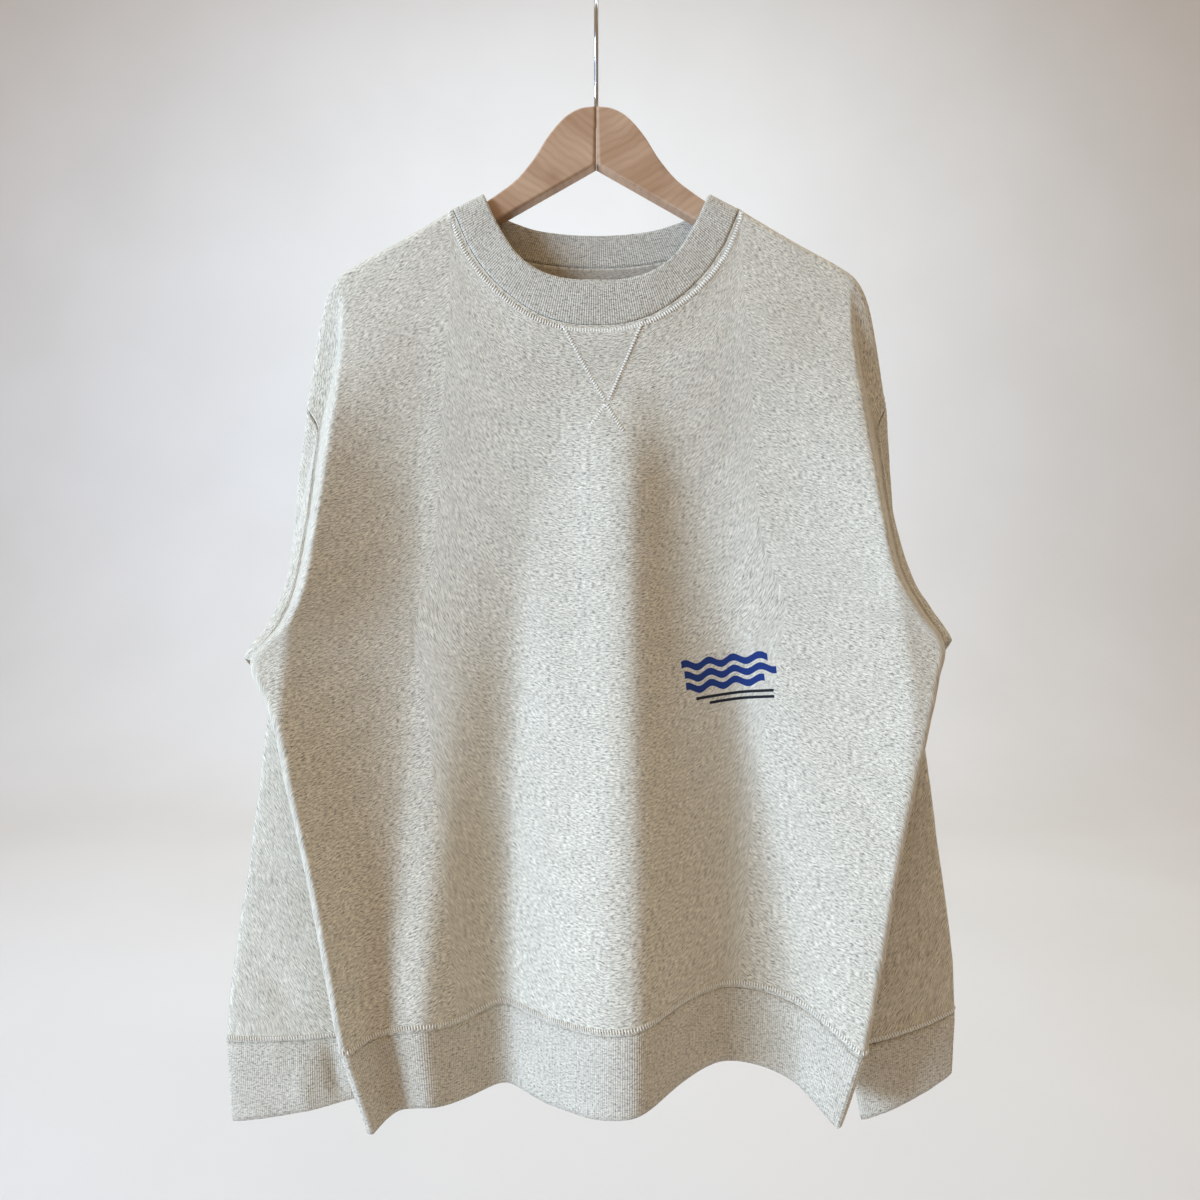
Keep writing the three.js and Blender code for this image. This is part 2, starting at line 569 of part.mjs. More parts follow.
function addNeck(cutters) {
  const patchLift = FLEECE / 2 + PATCH / 2 + PATCH_LIFT;
  const around = 2 * (FRONT_GRID.neck + BACK_GRID.neck);
  const band = bendWall(inset(neckPoint, LENGTHS.neckband, TRIMMED_GAP), around, BAND_RINGS, RIB);
  addMesh("neckband", trim(band, [cutters.front, cutters.back]), heatherRib);
  const insert = bendWall((u, v) => neckVPoint(u, 1 - v), NECK_V.cells, NECK_V.cells, PATCH, patchLift);
  addMesh("neck_v_insert", insert, heather);
  addMesh("neck_tape", bendWall(tapePoint, TAPE.cells, 1, PATCH, -patchLift), neckTape);
}

// ---- sleeves and cuffs ---------------------------------------------------

// round runs 0 to 1 once round the sleeve: up its front face from the underarm seam to the top edge,
// then down its back face.
function tubeSection(round, top, under, room) {
  const isFront = round < 0.5;
  const fromTop = fromTopShare(round);
  const air = room * Math.pow(Math.sin(Math.PI * fromTop), TUBE_BLUNTNESS) * (isFront ? -1 : 1);
  const spot = top.clone().lerp(under, fromTop);
  spot.y += air;
  return spot;
}

// Distance round a sleeve from its top edge, 0 to 1, in step with the rows of the body's panels.
function fromTopShare(round) {
  return Math.pow(Math.abs(round - 0.5) * 2, ROW_BUNCHING);
}

function sleeveRing(hand, round, along) {
  const row = readTable(SLEEVE_ROWS[hand], "step", along);
  const side = hand === "left" ? -1 : 1;
  const top = new THREE.Vector3(side * row.topX, row.topY, row.topZ);
  const under = new THREE.Vector3(side * row.underX, row.underY, row.underZ);
  return tubeSection(round, top, under, row.room);
}

// The sleeve starts on the armhole's loop and loses that loop's shape on its way down.
function sleevePoint(hand, round, along) {
  const side = hand === "left" ? -1 : 1;
  const isFront = round < 0.5;
  const down = fromTopShare(round) * PIT_SHARE;
  const seam = turnPoint(isFront, side, 1, down);
  const start = sleeveRing(hand, round, 0);
  const kept = 1 - smooth(0, mix(ARMHOLE_FADE.top, ARMHOLE_FADE.under, fromTopShare(round)), along);
  const keptDepth = 1 - smooth(0, isFront ? ARMHOLE_FADE.frontDepth : ARMHOLE_FADE.backDepth, along);
  const off = seam.sub(start).multiply(new THREE.Vector3(kept, keptDepth, kept));
  return sleeveRing(hand, round, along).add(off);
}

function cuffPoint(hand, round, along) {
  const cuff = CUFFS[hand];
  const side = hand === "left" ? -1 : 1;
  const corner = (from, to) => {
    return new THREE.Vector3(side * mix(from[0], to[0], along), CUFF_Y, mix(from[1], to[1], along));
  };
  return tubeSection(round, corner(cuff.topOut, cuff.endOut), corner(cuff.topIn, cuff.endIn), CUFF_ROOM);
}

function addSleeve(hand, cutters) {
  // The mesh's u and v are swapped over on one side, so that both sleeves face outwards.
  const flip = hand === "left";
  const around = (u) => (flip ? u : 1 - u);
  const sleeve = inset((u, v) => sleevePoint(hand, around(u), 1 - v), LENGTHS.sleeve, TRIMMED_GAP);
  const cuff = inset((u, v) => cuffPoint(hand, around(u), 1 - v), LENGTHS.cuff);
  const wall = bendWall(sleeve, 2 * ARMHOLE_ROWS, SLEEVE_RINGS, FLEECE);
  addMesh(`sleeve_${hand}`, trim(wall, [cutters.front, cutters.back]), heather);
  addMesh(`cuff_${hand}`, bendWall(cuff, 2 * ARMHOLE_ROWS, BAND_RINGS, RIB), heatherRib);
}

// ---- hanger --------------------------------------------------------------

function hangerOutline() {
  const right = HANGER_ROWS.map((row) => new THREE.Vector2(row.x, row.z));
  const left = HANGER_ROWS.slice(1, -1).reverse().map((row) => new THREE.Vector2(-row.x, row.z));
  return new THREE.Shape([...right, ...left]);
}

function hangerBlank() {
  const blank = new THREE.ExtrudeGeometry(hangerOutline(), {
    depth: HANGER_THICK - 2 * HANGER_EDGE,
    bevelThickness: HANGER_EDGE,
    bevelSize: HANGER_EDGE,
    bevelOffset: -HANGER_EDGE,
    bevelSegments: 3,
  });
  blank.translate(0, 0, HANGER_EDGE - HANGER_THICK / 2);
  blank.rotateX(Math.PI / 2);
  return toSolid(mergePoints(blank));
}

function addHanger() {
  const bore = new THREE.CylinderGeometry(BORE / 2, BORE / 2, BORE_DEPTH * 2, WIRE_SIDES);
  bore.rotateX(Math.PI / 2);
  bore.translate(0, 0, HANGER_ROWS[0].z);
  const blank = hangerBlank().subtract(toSolid(mergePoints(bore)));
  const reach = 400; // more than a half's length
  for (const side of [-1, 1]) {
    const half = new THREE.BoxGeometry(reach, reach, reach);
    half.translate((side * (reach + BUTT_GAP)) / 2, 0, -reach / 2);
    const arm = blank.intersect(toSolid(mergePoints(half)));
    addMesh(side < 0 ? "hanger_arm_left" : "hanger_arm_right", toGeometry(arm), paleWood);
  }
}

// The hook stands across the hanger: up from the crown, forward, over the top and down behind.
function hookPath() {
  const radius = HOOK_RADIUS + WIRE / 2;
  const path = STEM_ROWS.map((row) => new THREE.Vector3(0, row.y, row.z));
  for (let i = 0; i <= HOOK_STEPS; i += 1) {
    const angle = Math.PI * (1 - i / HOOK_STEPS);
    path.push(new THREE.Vector3(0, radius * Math.cos(angle), radius * Math.sin(angle) - HOOK_RADIUS));
  }
  path.push(new THREE.Vector3(0, radius, -HOOK_RADIUS - HOOK_END.straight));
  path.push(new THREE.Vector3(0, radius - HOOK_END.inward, -HOOK_RADIUS - HOOK_END.tip));
  return new THREE.CatmullRomCurve3(path);
}

function addHook() {
  const round = new THREE.Shape();
  round.absarc(0, 0, WIRE / 2, 0, Math.PI * 2);
  const hook = new THREE.ExtrudeGeometry(round, {
    steps: HOOK_RINGS,
    curveSegments: WIRE_SIDES / 2,
    bevelEnabled: false,
    extrudePath: hookPath(),
  });
  addMesh("hanger_hook", mergePoints(hook), chrome);
}

// ---- assembly ------------------------------------------------------------

const cutters = panelCutters();
addPanels(cutters);
addHemBand();
addNeck(cutters);
addSleeve("left", cutters);
addSleeve("right", cutters);
addHanger();
addHook();

export default object;
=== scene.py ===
"""A crewneck sweatshirt in heather fleece on a wooden hanger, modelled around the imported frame.

Sizes in the classes are millimetres, with X to the right of someone facing the front, Y away from
them and Z up from the inside top of the hook. Left and right are theirs as well. Blender's own
objects are in metres.
"""

import logging
from collections.abc import Callable
from dataclasses import dataclass, field
from enum import Enum
from types import SimpleNamespace

import bmesh
import bpy
import numpy as np
from mathutils import Matrix, Vector


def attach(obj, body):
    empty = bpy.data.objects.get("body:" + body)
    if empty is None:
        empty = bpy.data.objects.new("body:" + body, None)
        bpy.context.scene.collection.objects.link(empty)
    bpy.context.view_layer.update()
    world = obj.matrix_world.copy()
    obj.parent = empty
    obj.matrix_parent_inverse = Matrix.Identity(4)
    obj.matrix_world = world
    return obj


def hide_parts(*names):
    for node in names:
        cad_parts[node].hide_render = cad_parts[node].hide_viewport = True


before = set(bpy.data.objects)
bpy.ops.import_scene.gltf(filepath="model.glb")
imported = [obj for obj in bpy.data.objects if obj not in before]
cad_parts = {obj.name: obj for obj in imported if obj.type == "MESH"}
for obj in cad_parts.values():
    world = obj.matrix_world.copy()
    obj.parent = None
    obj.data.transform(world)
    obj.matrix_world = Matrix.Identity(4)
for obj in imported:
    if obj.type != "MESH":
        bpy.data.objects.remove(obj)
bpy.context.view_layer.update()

LOG = logging.getLogger("sweatshirt")
MM = 0.001
NEAR = 1e-3  # step, as a share of a surface, used to find which way it faces
SEAM_GAP = 0.36  # clear gap between pieces that are sewn edge to edge
TUBE_GAP = 0.9  # the same at the seams round the neck and along a sleeve
CLOSED = 1e6  # length given for a band that is closed round, so that no gap is left across it

Surface = Callable[[np.ndarray, np.ndarray], np.ndarray]
Values = np.ndarray | float  # one number or an array of them
Input = bpy.types.NodeSocket | float | tuple  # what a node's input takes


class Side(Enum):
    """The garment's sides, as signs of X."""

    LEFT = -1
    RIGHT = 1


class Slot(Enum):
    """The record's material slots."""

    FLEECE = "heather_fleece"
    RIB = "heather_rib"
    TAPE = "neck_tape"
    WOOD = "hanger_wood"
    WIRE = "hook_wire"


# ---- small tools ---------------------------------------------------------


def mix(low: Values, high: Values, share: Values) -> Values:
    """Returns the value a share of the way from low to high."""
    return low + (high - low) * share


def smooth(start: Values, end: Values, value: Values) -> Values:
    """Returns 0 before start, 1 after end and an even rise between them."""
    share = np.clip((value - start) / (end - start), 0, 1)
    return share * share * (3 - 2 * share)


def stack(x: Values, y: Values, z: Values) -> np.ndarray:
    """Returns points from their three coordinates."""
    return np.stack(np.broadcast_arrays(x, y, z), axis=-1).astype(float)


def make_piece(
    shape: bmesh.types.BMesh, name: str, finish: bpy.types.Material
) -> bpy.types.Object:
    """Makes a shape a smooth piece that rides on the body.

    Args:
        shape: the shape, which is used up.
        name: the piece's name.
        finish: its material.

    Returns:
        The piece.
    """
    for face in shape.faces:
        face.smooth = True
    mesh = bpy.data.meshes.new(name)
    shape.to_mesh(mesh)
    shape.free()
    mesh.materials.append(finish)
    piece = bpy.data.objects.new(name, mesh)
    bpy.context.scene.collection.objects.link(piece)
    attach(piece, "root")
    LOG.info("%s: %d faces", name, len(mesh.polygons))
    return piece


class Table:
    """Rows of numbers, read at any value of the first column on smooth curves through the rows."""

    def __init__(self, names: str, *rows: tuple) -> None:
        """Sorts the rows and finds each curve's slope at every row.

        Args:
            names: the columns' names, with spaces between them.
            rows: one tuple for each row.
        """
        values = np.array(rows, dtype=float)
        self.values = values if values[-1, 0] > values[0, 0] else values[::-1]
        before = np.vstack([self.values[:1], self.values[:-1]])
        after = np.vstack([self.values[1:], self.values[-1:]])
        self.slopes = (after - before) / (after[:, :1] - before[:, :1])
        self.names = names.split()

    def read(self, at: Values) -> SimpleNamespace:
        """Reads every column.

        Args:
            at: values of the first column, a number or an array.

        Returns:
            One attribute for each column, shaped as at is.
        """
        at = np.asarray(at, dtype=float)
        keys = self.values[:, 0]
        low = np.clip(np.searchsorted(keys, at) - 1, 0, len(keys) - 2)
        span = (keys[low + 1] - keys[low])[..., None]
        share = np.clip((at - keys[low])[..., None] / span, 0, 1)
        square, cube = share**2, share**3
        found = (2 * cube - 3 * square + 1) * self.values[low]
        found += (cube - 2 * square + share) * self.slopes[low] * span
        found += (3 * square - 2 * cube) * self.values[low + 1]
        found += (cube - square) * self.slopes[low + 1] * span
        return SimpleNamespace(**{name: found[..., i] for i, name in enumerate(self.names)})


@dataclass(frozen=True)
class Fold:
    """A fold that runs down a panel and is at its full depth from one height down."""

    top_x: float
    top_z: float
    end_x: float
    full: float
    depth: float
    spread_left: float
    spread_right: float
    squareness: float = 2
    fall: float = 1.4  # how fast its depth falls off beside it

    def lift(self, x: np.ndarray, z: np.ndarray) -> np.ndarray:
        """Works out how far the fold brings a panel forward.

        Args:
            x: places across, in millimetres.
            z: heights there.

        Returns:
            The distance forward at each point.
        """
        centre = mix(self.top_x, self.end_x, (self.top_z - z) / (self.top_z - Body.fold_foot))
        away = np.abs(x - centre) / np.where(x < centre, self.spread_left, self.spread_right)
        return self.depth * smooth(self.top_z, self.full, z) * np.exp(-(away**self.squareness) * self.fall)


@dataclass(frozen=True)
class Crease:
    """A soft trough in cloth along a straight line, or a ridge where its depth is negative."""

    start: tuple[float, float]
    end: tuple[float, float]
    depth: float
    width: float
    ends: float = 0.3  # share of the depth that is left at both ends

    def press(self, x: np.ndarray, z: np.ndarray) -> np.ndarray:
        """Works out how far the crease sinks the cloth.

        Args:
            x: places across, in millimetres.
            z: heights there.

        Returns:
            The distance inward at each point.
        """
        run = np.subtract(self.end, self.start)
        along = ((x - self.start[0]) * run[0] + (z - self.start[1]) * run[1]) / (run @ run)
        along = np.clip(along, 0, 1)
        away = np.hypot(x - self.start[0] - along * run[0], z - self.start[1] - along * run[1])
        fade = mix(self.ends, 1, np.sin(np.pi * along))
        return self.depth * np.exp(-((away / self.width) ** 2)) * fade


# ---- the body's surfaces -------------------------------------------------


@dataclass
class Body:
    """The shape in which the garment's two panels hang."""

    neck_columns: dict = field(default_factory=lambda: {True: 9, False: 6})
    shoulder_columns: dict = field(default_factory=lambda: {True: 4, False: 3})
    turn_columns: int = 3
    shoulder_x: float = 211
    shoulder_z: float = -229
    shoulder_step: float = 0.6
    bottom: float = -879
    underarm: float = -561
    pit_rise: float = 15
    fold_radius: float = 8
    edge_turn: float = 5
    back_set_in: float = 3
    crest_radius: float = 9
    settle: float = 26
    upright: tuple[float, float, float] = (9, 12, 40)
    side_calm: float = 0.16
    flank_share: float = 0.52
    rounding: float = 1.7
    rounding_left: float = 1.5
    crowding: float = 1.35
    fleece: float = 1.8
    front_size: tuple[float, float] = (560, 620)
    back_size: tuple[float, float] = (520, 620)
    fold_foot: float = -870

    neck = Table(
        "step seam_x seam_y seam_z edge_x edge_y edge_z",
        (-0.25, -30, -15, -276, -24, -18, -240.5),
        (0.0, 0, -15, -279, 0, -18, -241.5),
        (0.25, 30, -15, -276, 24, -18, -240.5),
        (0.45, 58, -14.5, -264, 46, -17, -234),
        (0.63, 86, -13.5, -241, 66, -16, -219),
        (0.79, 106, -12.5, -214, 82, -14, -194),
        (0.9, 119.5, -11.4, -183.5, 92.5, -10.8, -171.5),
        (1.0, 123, 0, -178.5, 95.5, 0, -163.5),
        (1.15, 119, 11.8, -184.5, 91, 11.5, -171),
        (1.3, 103, 13, -200, 80, 14, -177),
        (1.6, 58, 14, -214.5, 48, 15, -187),
        (2.0, 0, 14.5, -220, 0, 15.5, -191),
        (2.4, -58, 14, -214.5, -48, 15, -187),
    )
    shoulder = Table(
        "step x y z",
        (0.0, 123, 0, -178.5),
        (0.3, 166, 0, -204),
        (0.6, 211, 0, -229),
        (0.7, 224, 1, -241),
        (0.78, 233, 4, -260),
        (0.88, 242, 8, -297),
        (1.0, 249.5, 12, -340),
    )
    sides = Table(
        "z left right face_y back_face_y seam_out seam_y back_out back_y flat",
        (-229, 219, 219, -11, 12, 7, 3, 7, 5, 1),
        (-293, 219, 221, -15, 11, 12, 6, 12, 11, 1),
        (-340, 224, 227, -19, 9, 12, 3, 10, 11, 1),
        (-400, 232, 235, -24, 5, 9.4, -2.5, 7, 8, 1),
        (-450, 239, 242, -27, 1, 8, -7, 5, 4, 1),
        (-500, 248, 252, -29, -3, 7, -13, 2, -1.5, 1),
        (-530, 261, 268, -28, -6, 5, -17, 0, -7, 0.9),
        (-561, 285, 288, -27, -9, 2, -19, 0, -16, 0.5),
        (-588, 276, 284, -31, -11, 0, -18, 0, -18, 0),
        (-616, 265, 277, -35, -13, 0, -20, 0, -20, 0),
        (-673, 252, 262, -39, -15, 0, -23, 0, -23, 0),
        (-740, 236, 247, -41, -17, 0, -25, 0, -25, 0),
        (-815, 221, 233, -42, -17, 0, -26, 0, -26, 0),
        (-879, 208, 220, -42, -16, 0, -26, 0, -26, 0),
        (-949, 190, 204, -26, -4, 0, -12, 0, -12, 0),
    )
    middle = Table(
        "z front back reach share_left",
        (-229, -12, 12, 211, 0.34),
        (-293, -12, 14, 212, 0.34),
        (-340, -6, 19, 217, 0.34),
        (-400, 4, 27, 226, 0.34),
        (-450, 10, 32, 236, 0.35),
        (-500, 13, 35, 247, 0.37),
        (-560, 16, 38, 257, 0.39),
        (-620, 18, 40, 257, 0.36),
        (-740, 14, 40, 238, 0.25),
        (-815, 8, 38, 230, 0.18),
        (-900, 3, 35, 220, 0.14),
    )
    hem = Table(
        "x front back",
        (-200, -879, -879),
        (-176, -875, -862),
        (-150, -869, -852),
        (-112, -871, -845),
        (-80, -864, -841),
        (-40, -864, -840),
        (20, -854, -838),
        (104, -844, -840),
        (140, -848, -844),
        (170, -856, -852),
        (196, -868, -867),
        (212, -879, -879),
    )
    band = Table(
        "x shift drop backward",
        (-208, 18, -70, 14),
        (-176, 12, -66, 8),
        (-136, 3, -65, 3),
        (-80, 2, -69, 1),
        (10, 0, -66, 0),
        (104, -1, -64, 1),
        (170, -5, -66, 5),
        (220, -16, -64, 14),
    )
    front_folds = (
        Fold(24, -300, 30, -430, 21, 52, 34),
        Fold(36, -480, 16, -870, 43, 70, 76, 2.6),
        Fold(74, -330, 178, -640, -17, 60, 36),
        Fold(-64, -380, -86, -620, -15, 46, 28),
        Fold(-136, -520, -146, -860, 28, 56, 42),
    )
    back_folds = (
        Fold(-70, -420, -96, -800, -4, 40, 48),
        Fold(20, -380, 26, -850, 4, 46, 46),
        Fold(70, -330, 170, -600, -13, 60, 46),
    )

    @property
    def pit_share(self) -> float:
        """Returns the underarm's place as a share of a panel's height."""
        return (self.shoulder_z - self.underarm) / (self.shoulder_z - self.bottom)

    def face_depth(
        self,
        front: bool,
        side: np.ndarray,
        x: np.ndarray,
        z: np.ndarray,
        inner: np.ndarray,
        edge_y: np.ndarray,
    ) -> np.ndarray:
        """Works out how deep a panel's face lies: its middle, the flank beside it and the folds.

        Args:
            front: whether it is the front panel.
            side: -1 where a point is on the left and 1 where it is on the right.
            x: places across, in millimetres.
            z: heights there.
            inner: half the face's width at those heights.
            edge_y: the depth at the face's edge.

        Returns:
            The Y of each point.
        """
        middle = self.middle.read(z)
        left = front & (side < 0)
        share = np.where(left, middle.share_left, self.flank_share)
        rounding = np.where(left, self.rounding_left, self.rounding)
        outer = np.minimum(inner, middle.reach)
        inward = np.clip((1 - np.abs(x) / outer) / share, 0, 1)
        flank = mix(edge_y, middle.front if front else middle.back, 1 - (1 - inward) ** rounding)
        calm = smooth(0, self.side_calm, 1 - np.abs(x) / inner)
        folds = self.front_folds if front else self.back_folds
        return flank - calm * sum(fold.lift(x, z) for fold in folds)

    def rise(self, side: np.ndarray, down: np.ndarray) -> np.ndarray:
        """Works out how far the higher underarm on the right lifts a row.

        Args:
            side: -1 where a point is on the left and 1 where it is on the right.
            down: 0 to 1 down the panel.

        Returns:
            The rise of each point.
        """
        pit = self.pit_share
        lift = np.where(down < pit, smooth(0, pit, down), 1 - smooth(pit, 1, down))
        return np.where(side < 0, 0, self.pit_rise * lift)

    def crest(self, below: np.ndarray) -> np.ndarray:
        """Returns the share of the way from the top of a rounded crest to the face below it."""
        return np.sqrt(1 - (1 - np.minimum(below / self.crest_radius, 1)) ** 2)

    def face(
        self, front: bool, side: np.ndarray, column: np.ndarray, down: np.ndarray
    ) -> np.ndarray:
        """Lays out a panel's face.

        Args:
            front: whether it is the front panel.
            side: -1 where a point is on the left and 1 where it is on the right.
            column: columns away from the centre.
            down: 0 to 1 down the panel.

        Returns:
            The points.
        """
        neck, shoulder = self.neck_columns[front], self.shoulder_columns[front]
        step = np.clip(column / neck, 0, 1)
        seam = self.neck.read(step if front else 2 - step)
        over = self.shoulder.read(np.maximum(column - neck, 0) / shoulder * self.shoulder_step)
        at_neck = column < neck
        top_x, top_y, top_z = (
            np.where(at_neck, a, b)
            for a, b in ((seam.seam_x, over.x), (seam.seam_y, over.y), (seam.seam_z, over.z))
        )
        row = self.sides.read(mix(self.shoulder_z, self.bottom, down))
        inner = np.where(side < 0, row.left, row.right) - self.fold_radius
        x = side * top_x * inner / self.shoulder_x
        last = self.sides.read(self.bottom)
        bottom_edge = np.where(side < 0, last.left, last.right) - self.fold_radius
        line = self.hem.read(side * top_x * bottom_edge / self.shoulder_x)
        lift = self.rise(side, down) * (column / (neck + shoulder)) ** 2
        z = mix(top_z, line.front if front else line.back, down) + lift
        below = np.maximum(top_z - z, 0)
        face = self.face_depth(front, side, x, z, inner, row.face_y if front else row.back_face_y)
        start, end, settle = self.upright
        upright = smooth(start, end, np.abs(top_y))
        blend = mix(self.crest(below), smooth(0, settle, below), upright)
        return stack(x, mix(top_y, face, blend), z)

    def turn(
        self, front: bool, side: np.ndarray, share: np.ndarray, down: np.ndarray
    ) -> np.ndarray:
        """Lays out the turn round the garment's side.

        Args:
            front: whether it is the front panel.
            side: -1 where a point is on the left and 1 where it is on the right.
            share: 0 to 1 from the face's edge out to the seam.
            down: 0 to 1 down the panel.

        Returns:
            The points.
        """
        top = self.shoulder.read(mix(self.shoulder_step, 1, share))
        slope = np.maximum(1 - down / self.pit_share, 0)
        level = mix(self.shoulder_z, self.bottom, down) + (top.z - self.shoulder_z) * slope
        row = self.sides.read(level)
        edge = np.where(side < 0, row.left, row.right)
        z = level + self.rise(side, down)
        face_y = row.face_y if front else row.back_face_y
        out = np.maximum(row.seam_out if front else row.back_out, 0)
        flat = np.maximum(row.flat, 0)
        seam_y = row.seam_y if front else row.back_y
        kept = 1 - share
        weights = (kept**3, 3 * kept**2 * share, 3 * kept * share**2, share**3)
        turned = edge if front else edge - flat * self.back_set_in
        near_seam = seam_y + self.edge_turn * (1 - flat) * (-1 if front else 1)
        x = sum(w * at for w, at in zip(weights, (edge - self.fold_radius, turned, edge, edge + out)))
        y = sum(w * at for w, at in zip(weights, (face_y, face_y, near_seam, seam_y)))
        below = np.maximum(top.z - z, 0)
        x = mix(top.x, x, smooth(0, self.settle, below))
        return stack(side * x, mix(top.y, y, self.crest(below)), z)

    def point(self, front: bool, across: Values, down: Values) -> np.ndarray:
        """Lays out a panel.

        Args:
            front: whether it is the front panel.
            across: 0 to 1 from the left seam to the right one.
            down: 0 to 1 from neck and shoulder seam to the hem band's seam.

        Returns:
            The points.
        """
        across, down = np.broadcast_arrays(across, down)
        flat = self.neck_columns[front] + self.shoulder_columns[front]
        column = np.abs(across * 2 - 1) * (flat + self.turn_columns)
        side = np.where(across < 0.5, -1, 1)
        face = self.face(front, side, np.minimum(column, flat), down)
        share = np.clip((column - flat) / self.turn_columns, 0, 1)
        turn = self.turn(front, side, share, down)
        return np.where((column <= flat)[..., None], face, turn)

    def columns(self, front: bool) -> int:
        """Returns how many columns the whole panel has."""
        return 2 * (self.neck_columns[front] + self.shoulder_columns[front] + self.turn_columns)

    def down_share(self, v: Values) -> np.ndarray:
        """Brings rows closer together at the shoulders and puts one at the underarm.

        Args:
            v: 0 to 1 down the panel in even steps.

        Returns:
            The rows' shares of the panel's height.
        """
        upper = self.pit_share * np.clip(2 * v, 0, 1) ** self.crowding
        lower = mix(self.pit_share, 1, np.clip(2 * v - 1, 0, 1))
        return np.where(v < 0.5, upper, lower)

    def panel(self, front: bool) -> Surface:
        """Returns a panel's surface with its rows evenly spaced, from its lower corner."""
        return lambda u, v: self.point(front, u if front else 1 - u, 1 - v)

    def front(self, u: Values, v: Values) -> np.ndarray:
        """Returns the front panel's surface, from its lower left corner."""
        return self.point(True, u, self.down_share(1 - v))

    def back(self, u: Values, v: Values) -> np.ndarray:
        """Returns the back panel's surface, from its lower right corner."""
        return self.point(False, 1 - u, self.down_share(1 - v))

    def band_point(self, front: bool, across: np.ndarray, down: np.ndarray) -> np.ndarray:
        """Lays out the hem band.

        Args:
            front: whether it is the front panel.
            across: 0 to 1 from the left seam to the right one.
            down: 0 to 1 from its seam to its free edge.

        Returns:
            The points.
        """
        seam = self.point(front, across, np.ones_like(across))
        row = self.band.read(seam[..., 0])
        drop = stack(row.shift * down, row.backward * down, row.drop * down)
        return seam + drop

    def neck_point(self, turn: np.ndarray, rise: np.ndarray) -> np.ndarray:
        """Lays out the neck band.

        Args:
            turn: 0 to 1 once round from the centre back.
            rise: 0 to 1 up from its seam.

        Returns:
            The points.
        """
        front, back = self.neck_columns[True], self.neck_columns[False]
        column = np.abs(turn * 2 - 1) * (front + back)
        step = np.where(column < front, column / front, 1 + (column - front) / back)
        side = np.where(turn < 0.5, -1, 1)
        row = self.neck.read(step)
        x = mix(row.seam_x, row.edge_x, rise) * side
        return stack(x, mix(row.seam_y, row.edge_y, rise), mix(row.seam_z, row.edge_z, rise))


def inset(surface: Surface, lengths: tuple[float, float], gap: float = SEAM_GAP) -> Surface:
    """Stops a surface half a seam gap short of its edges.

    Args:
        surface: the surface.
        lengths: its length across and along.
        gap: the clear gap between it and its neighbours.

    Returns:
        The shorter surface.
    """
    across, along = gap / 2 / lengths[0], gap / 2 / lengths[1]
    return lambda u, v: surface(mix(across, 1 - across, u), mix(along, 1 - along, v))


def outward(surface: Surface, u: Values, v: Values) -> np.ndarray:
    """Finds which way a surface faces.

    Args:
        surface: the surface.
        u: shares across it.
        v: shares up it.

    Returns:
        A direction of length 1 at each place.
    """
    across = surface(np.minimum(u + NEAR, 1), v) - surface(np.maximum(u - NEAR, 0), v)
    along = surface(u, np.minimum(v + NEAR, 1)) - surface(u, np.maximum(v - NEAR, 0))
    out = np.cross(across, along)
    return out / np.linalg.norm(out, axis=-1, keepdims=True)


def even(surface: Surface, samples: int = 3000) -> Surface:
    """Spreads a surface's columns evenly over its length across, half way along it.

    Args:
        surface: the surface.
        samples: points at which its length is measured.

    Returns:
        The evened surface.
    """
    shares = np.linspace(0, 1, samples)
    points = surface(shares, np.full(samples, 0.5))
    run = np.concatenate([[0], np.cumsum(np.linalg.norm(np.diff(points, axis=0), axis=1))])
    return lambda u, v: surface(np.interp(u, run / run[-1], shares), v)


def crowded(surface: Surface, share: float = 0.68) -> Surface:
    """Brings a surface's columns closer together towards both sides.

    Args:
        surface: the surface.
        share: how much closer they lie at the sides, 0 to 1.

    Returns:
        The crowded surface.
    """

    def moved(u: np.ndarray, v: np.ndarray) -> np.ndarray:
        """Returns points of the surface at the crowded columns."""
        return surface(u - share * np.sin(2 * np.pi * u) / (2 * np.pi), v)

    return moved


# ---- finishes ------------------------------------------------------------


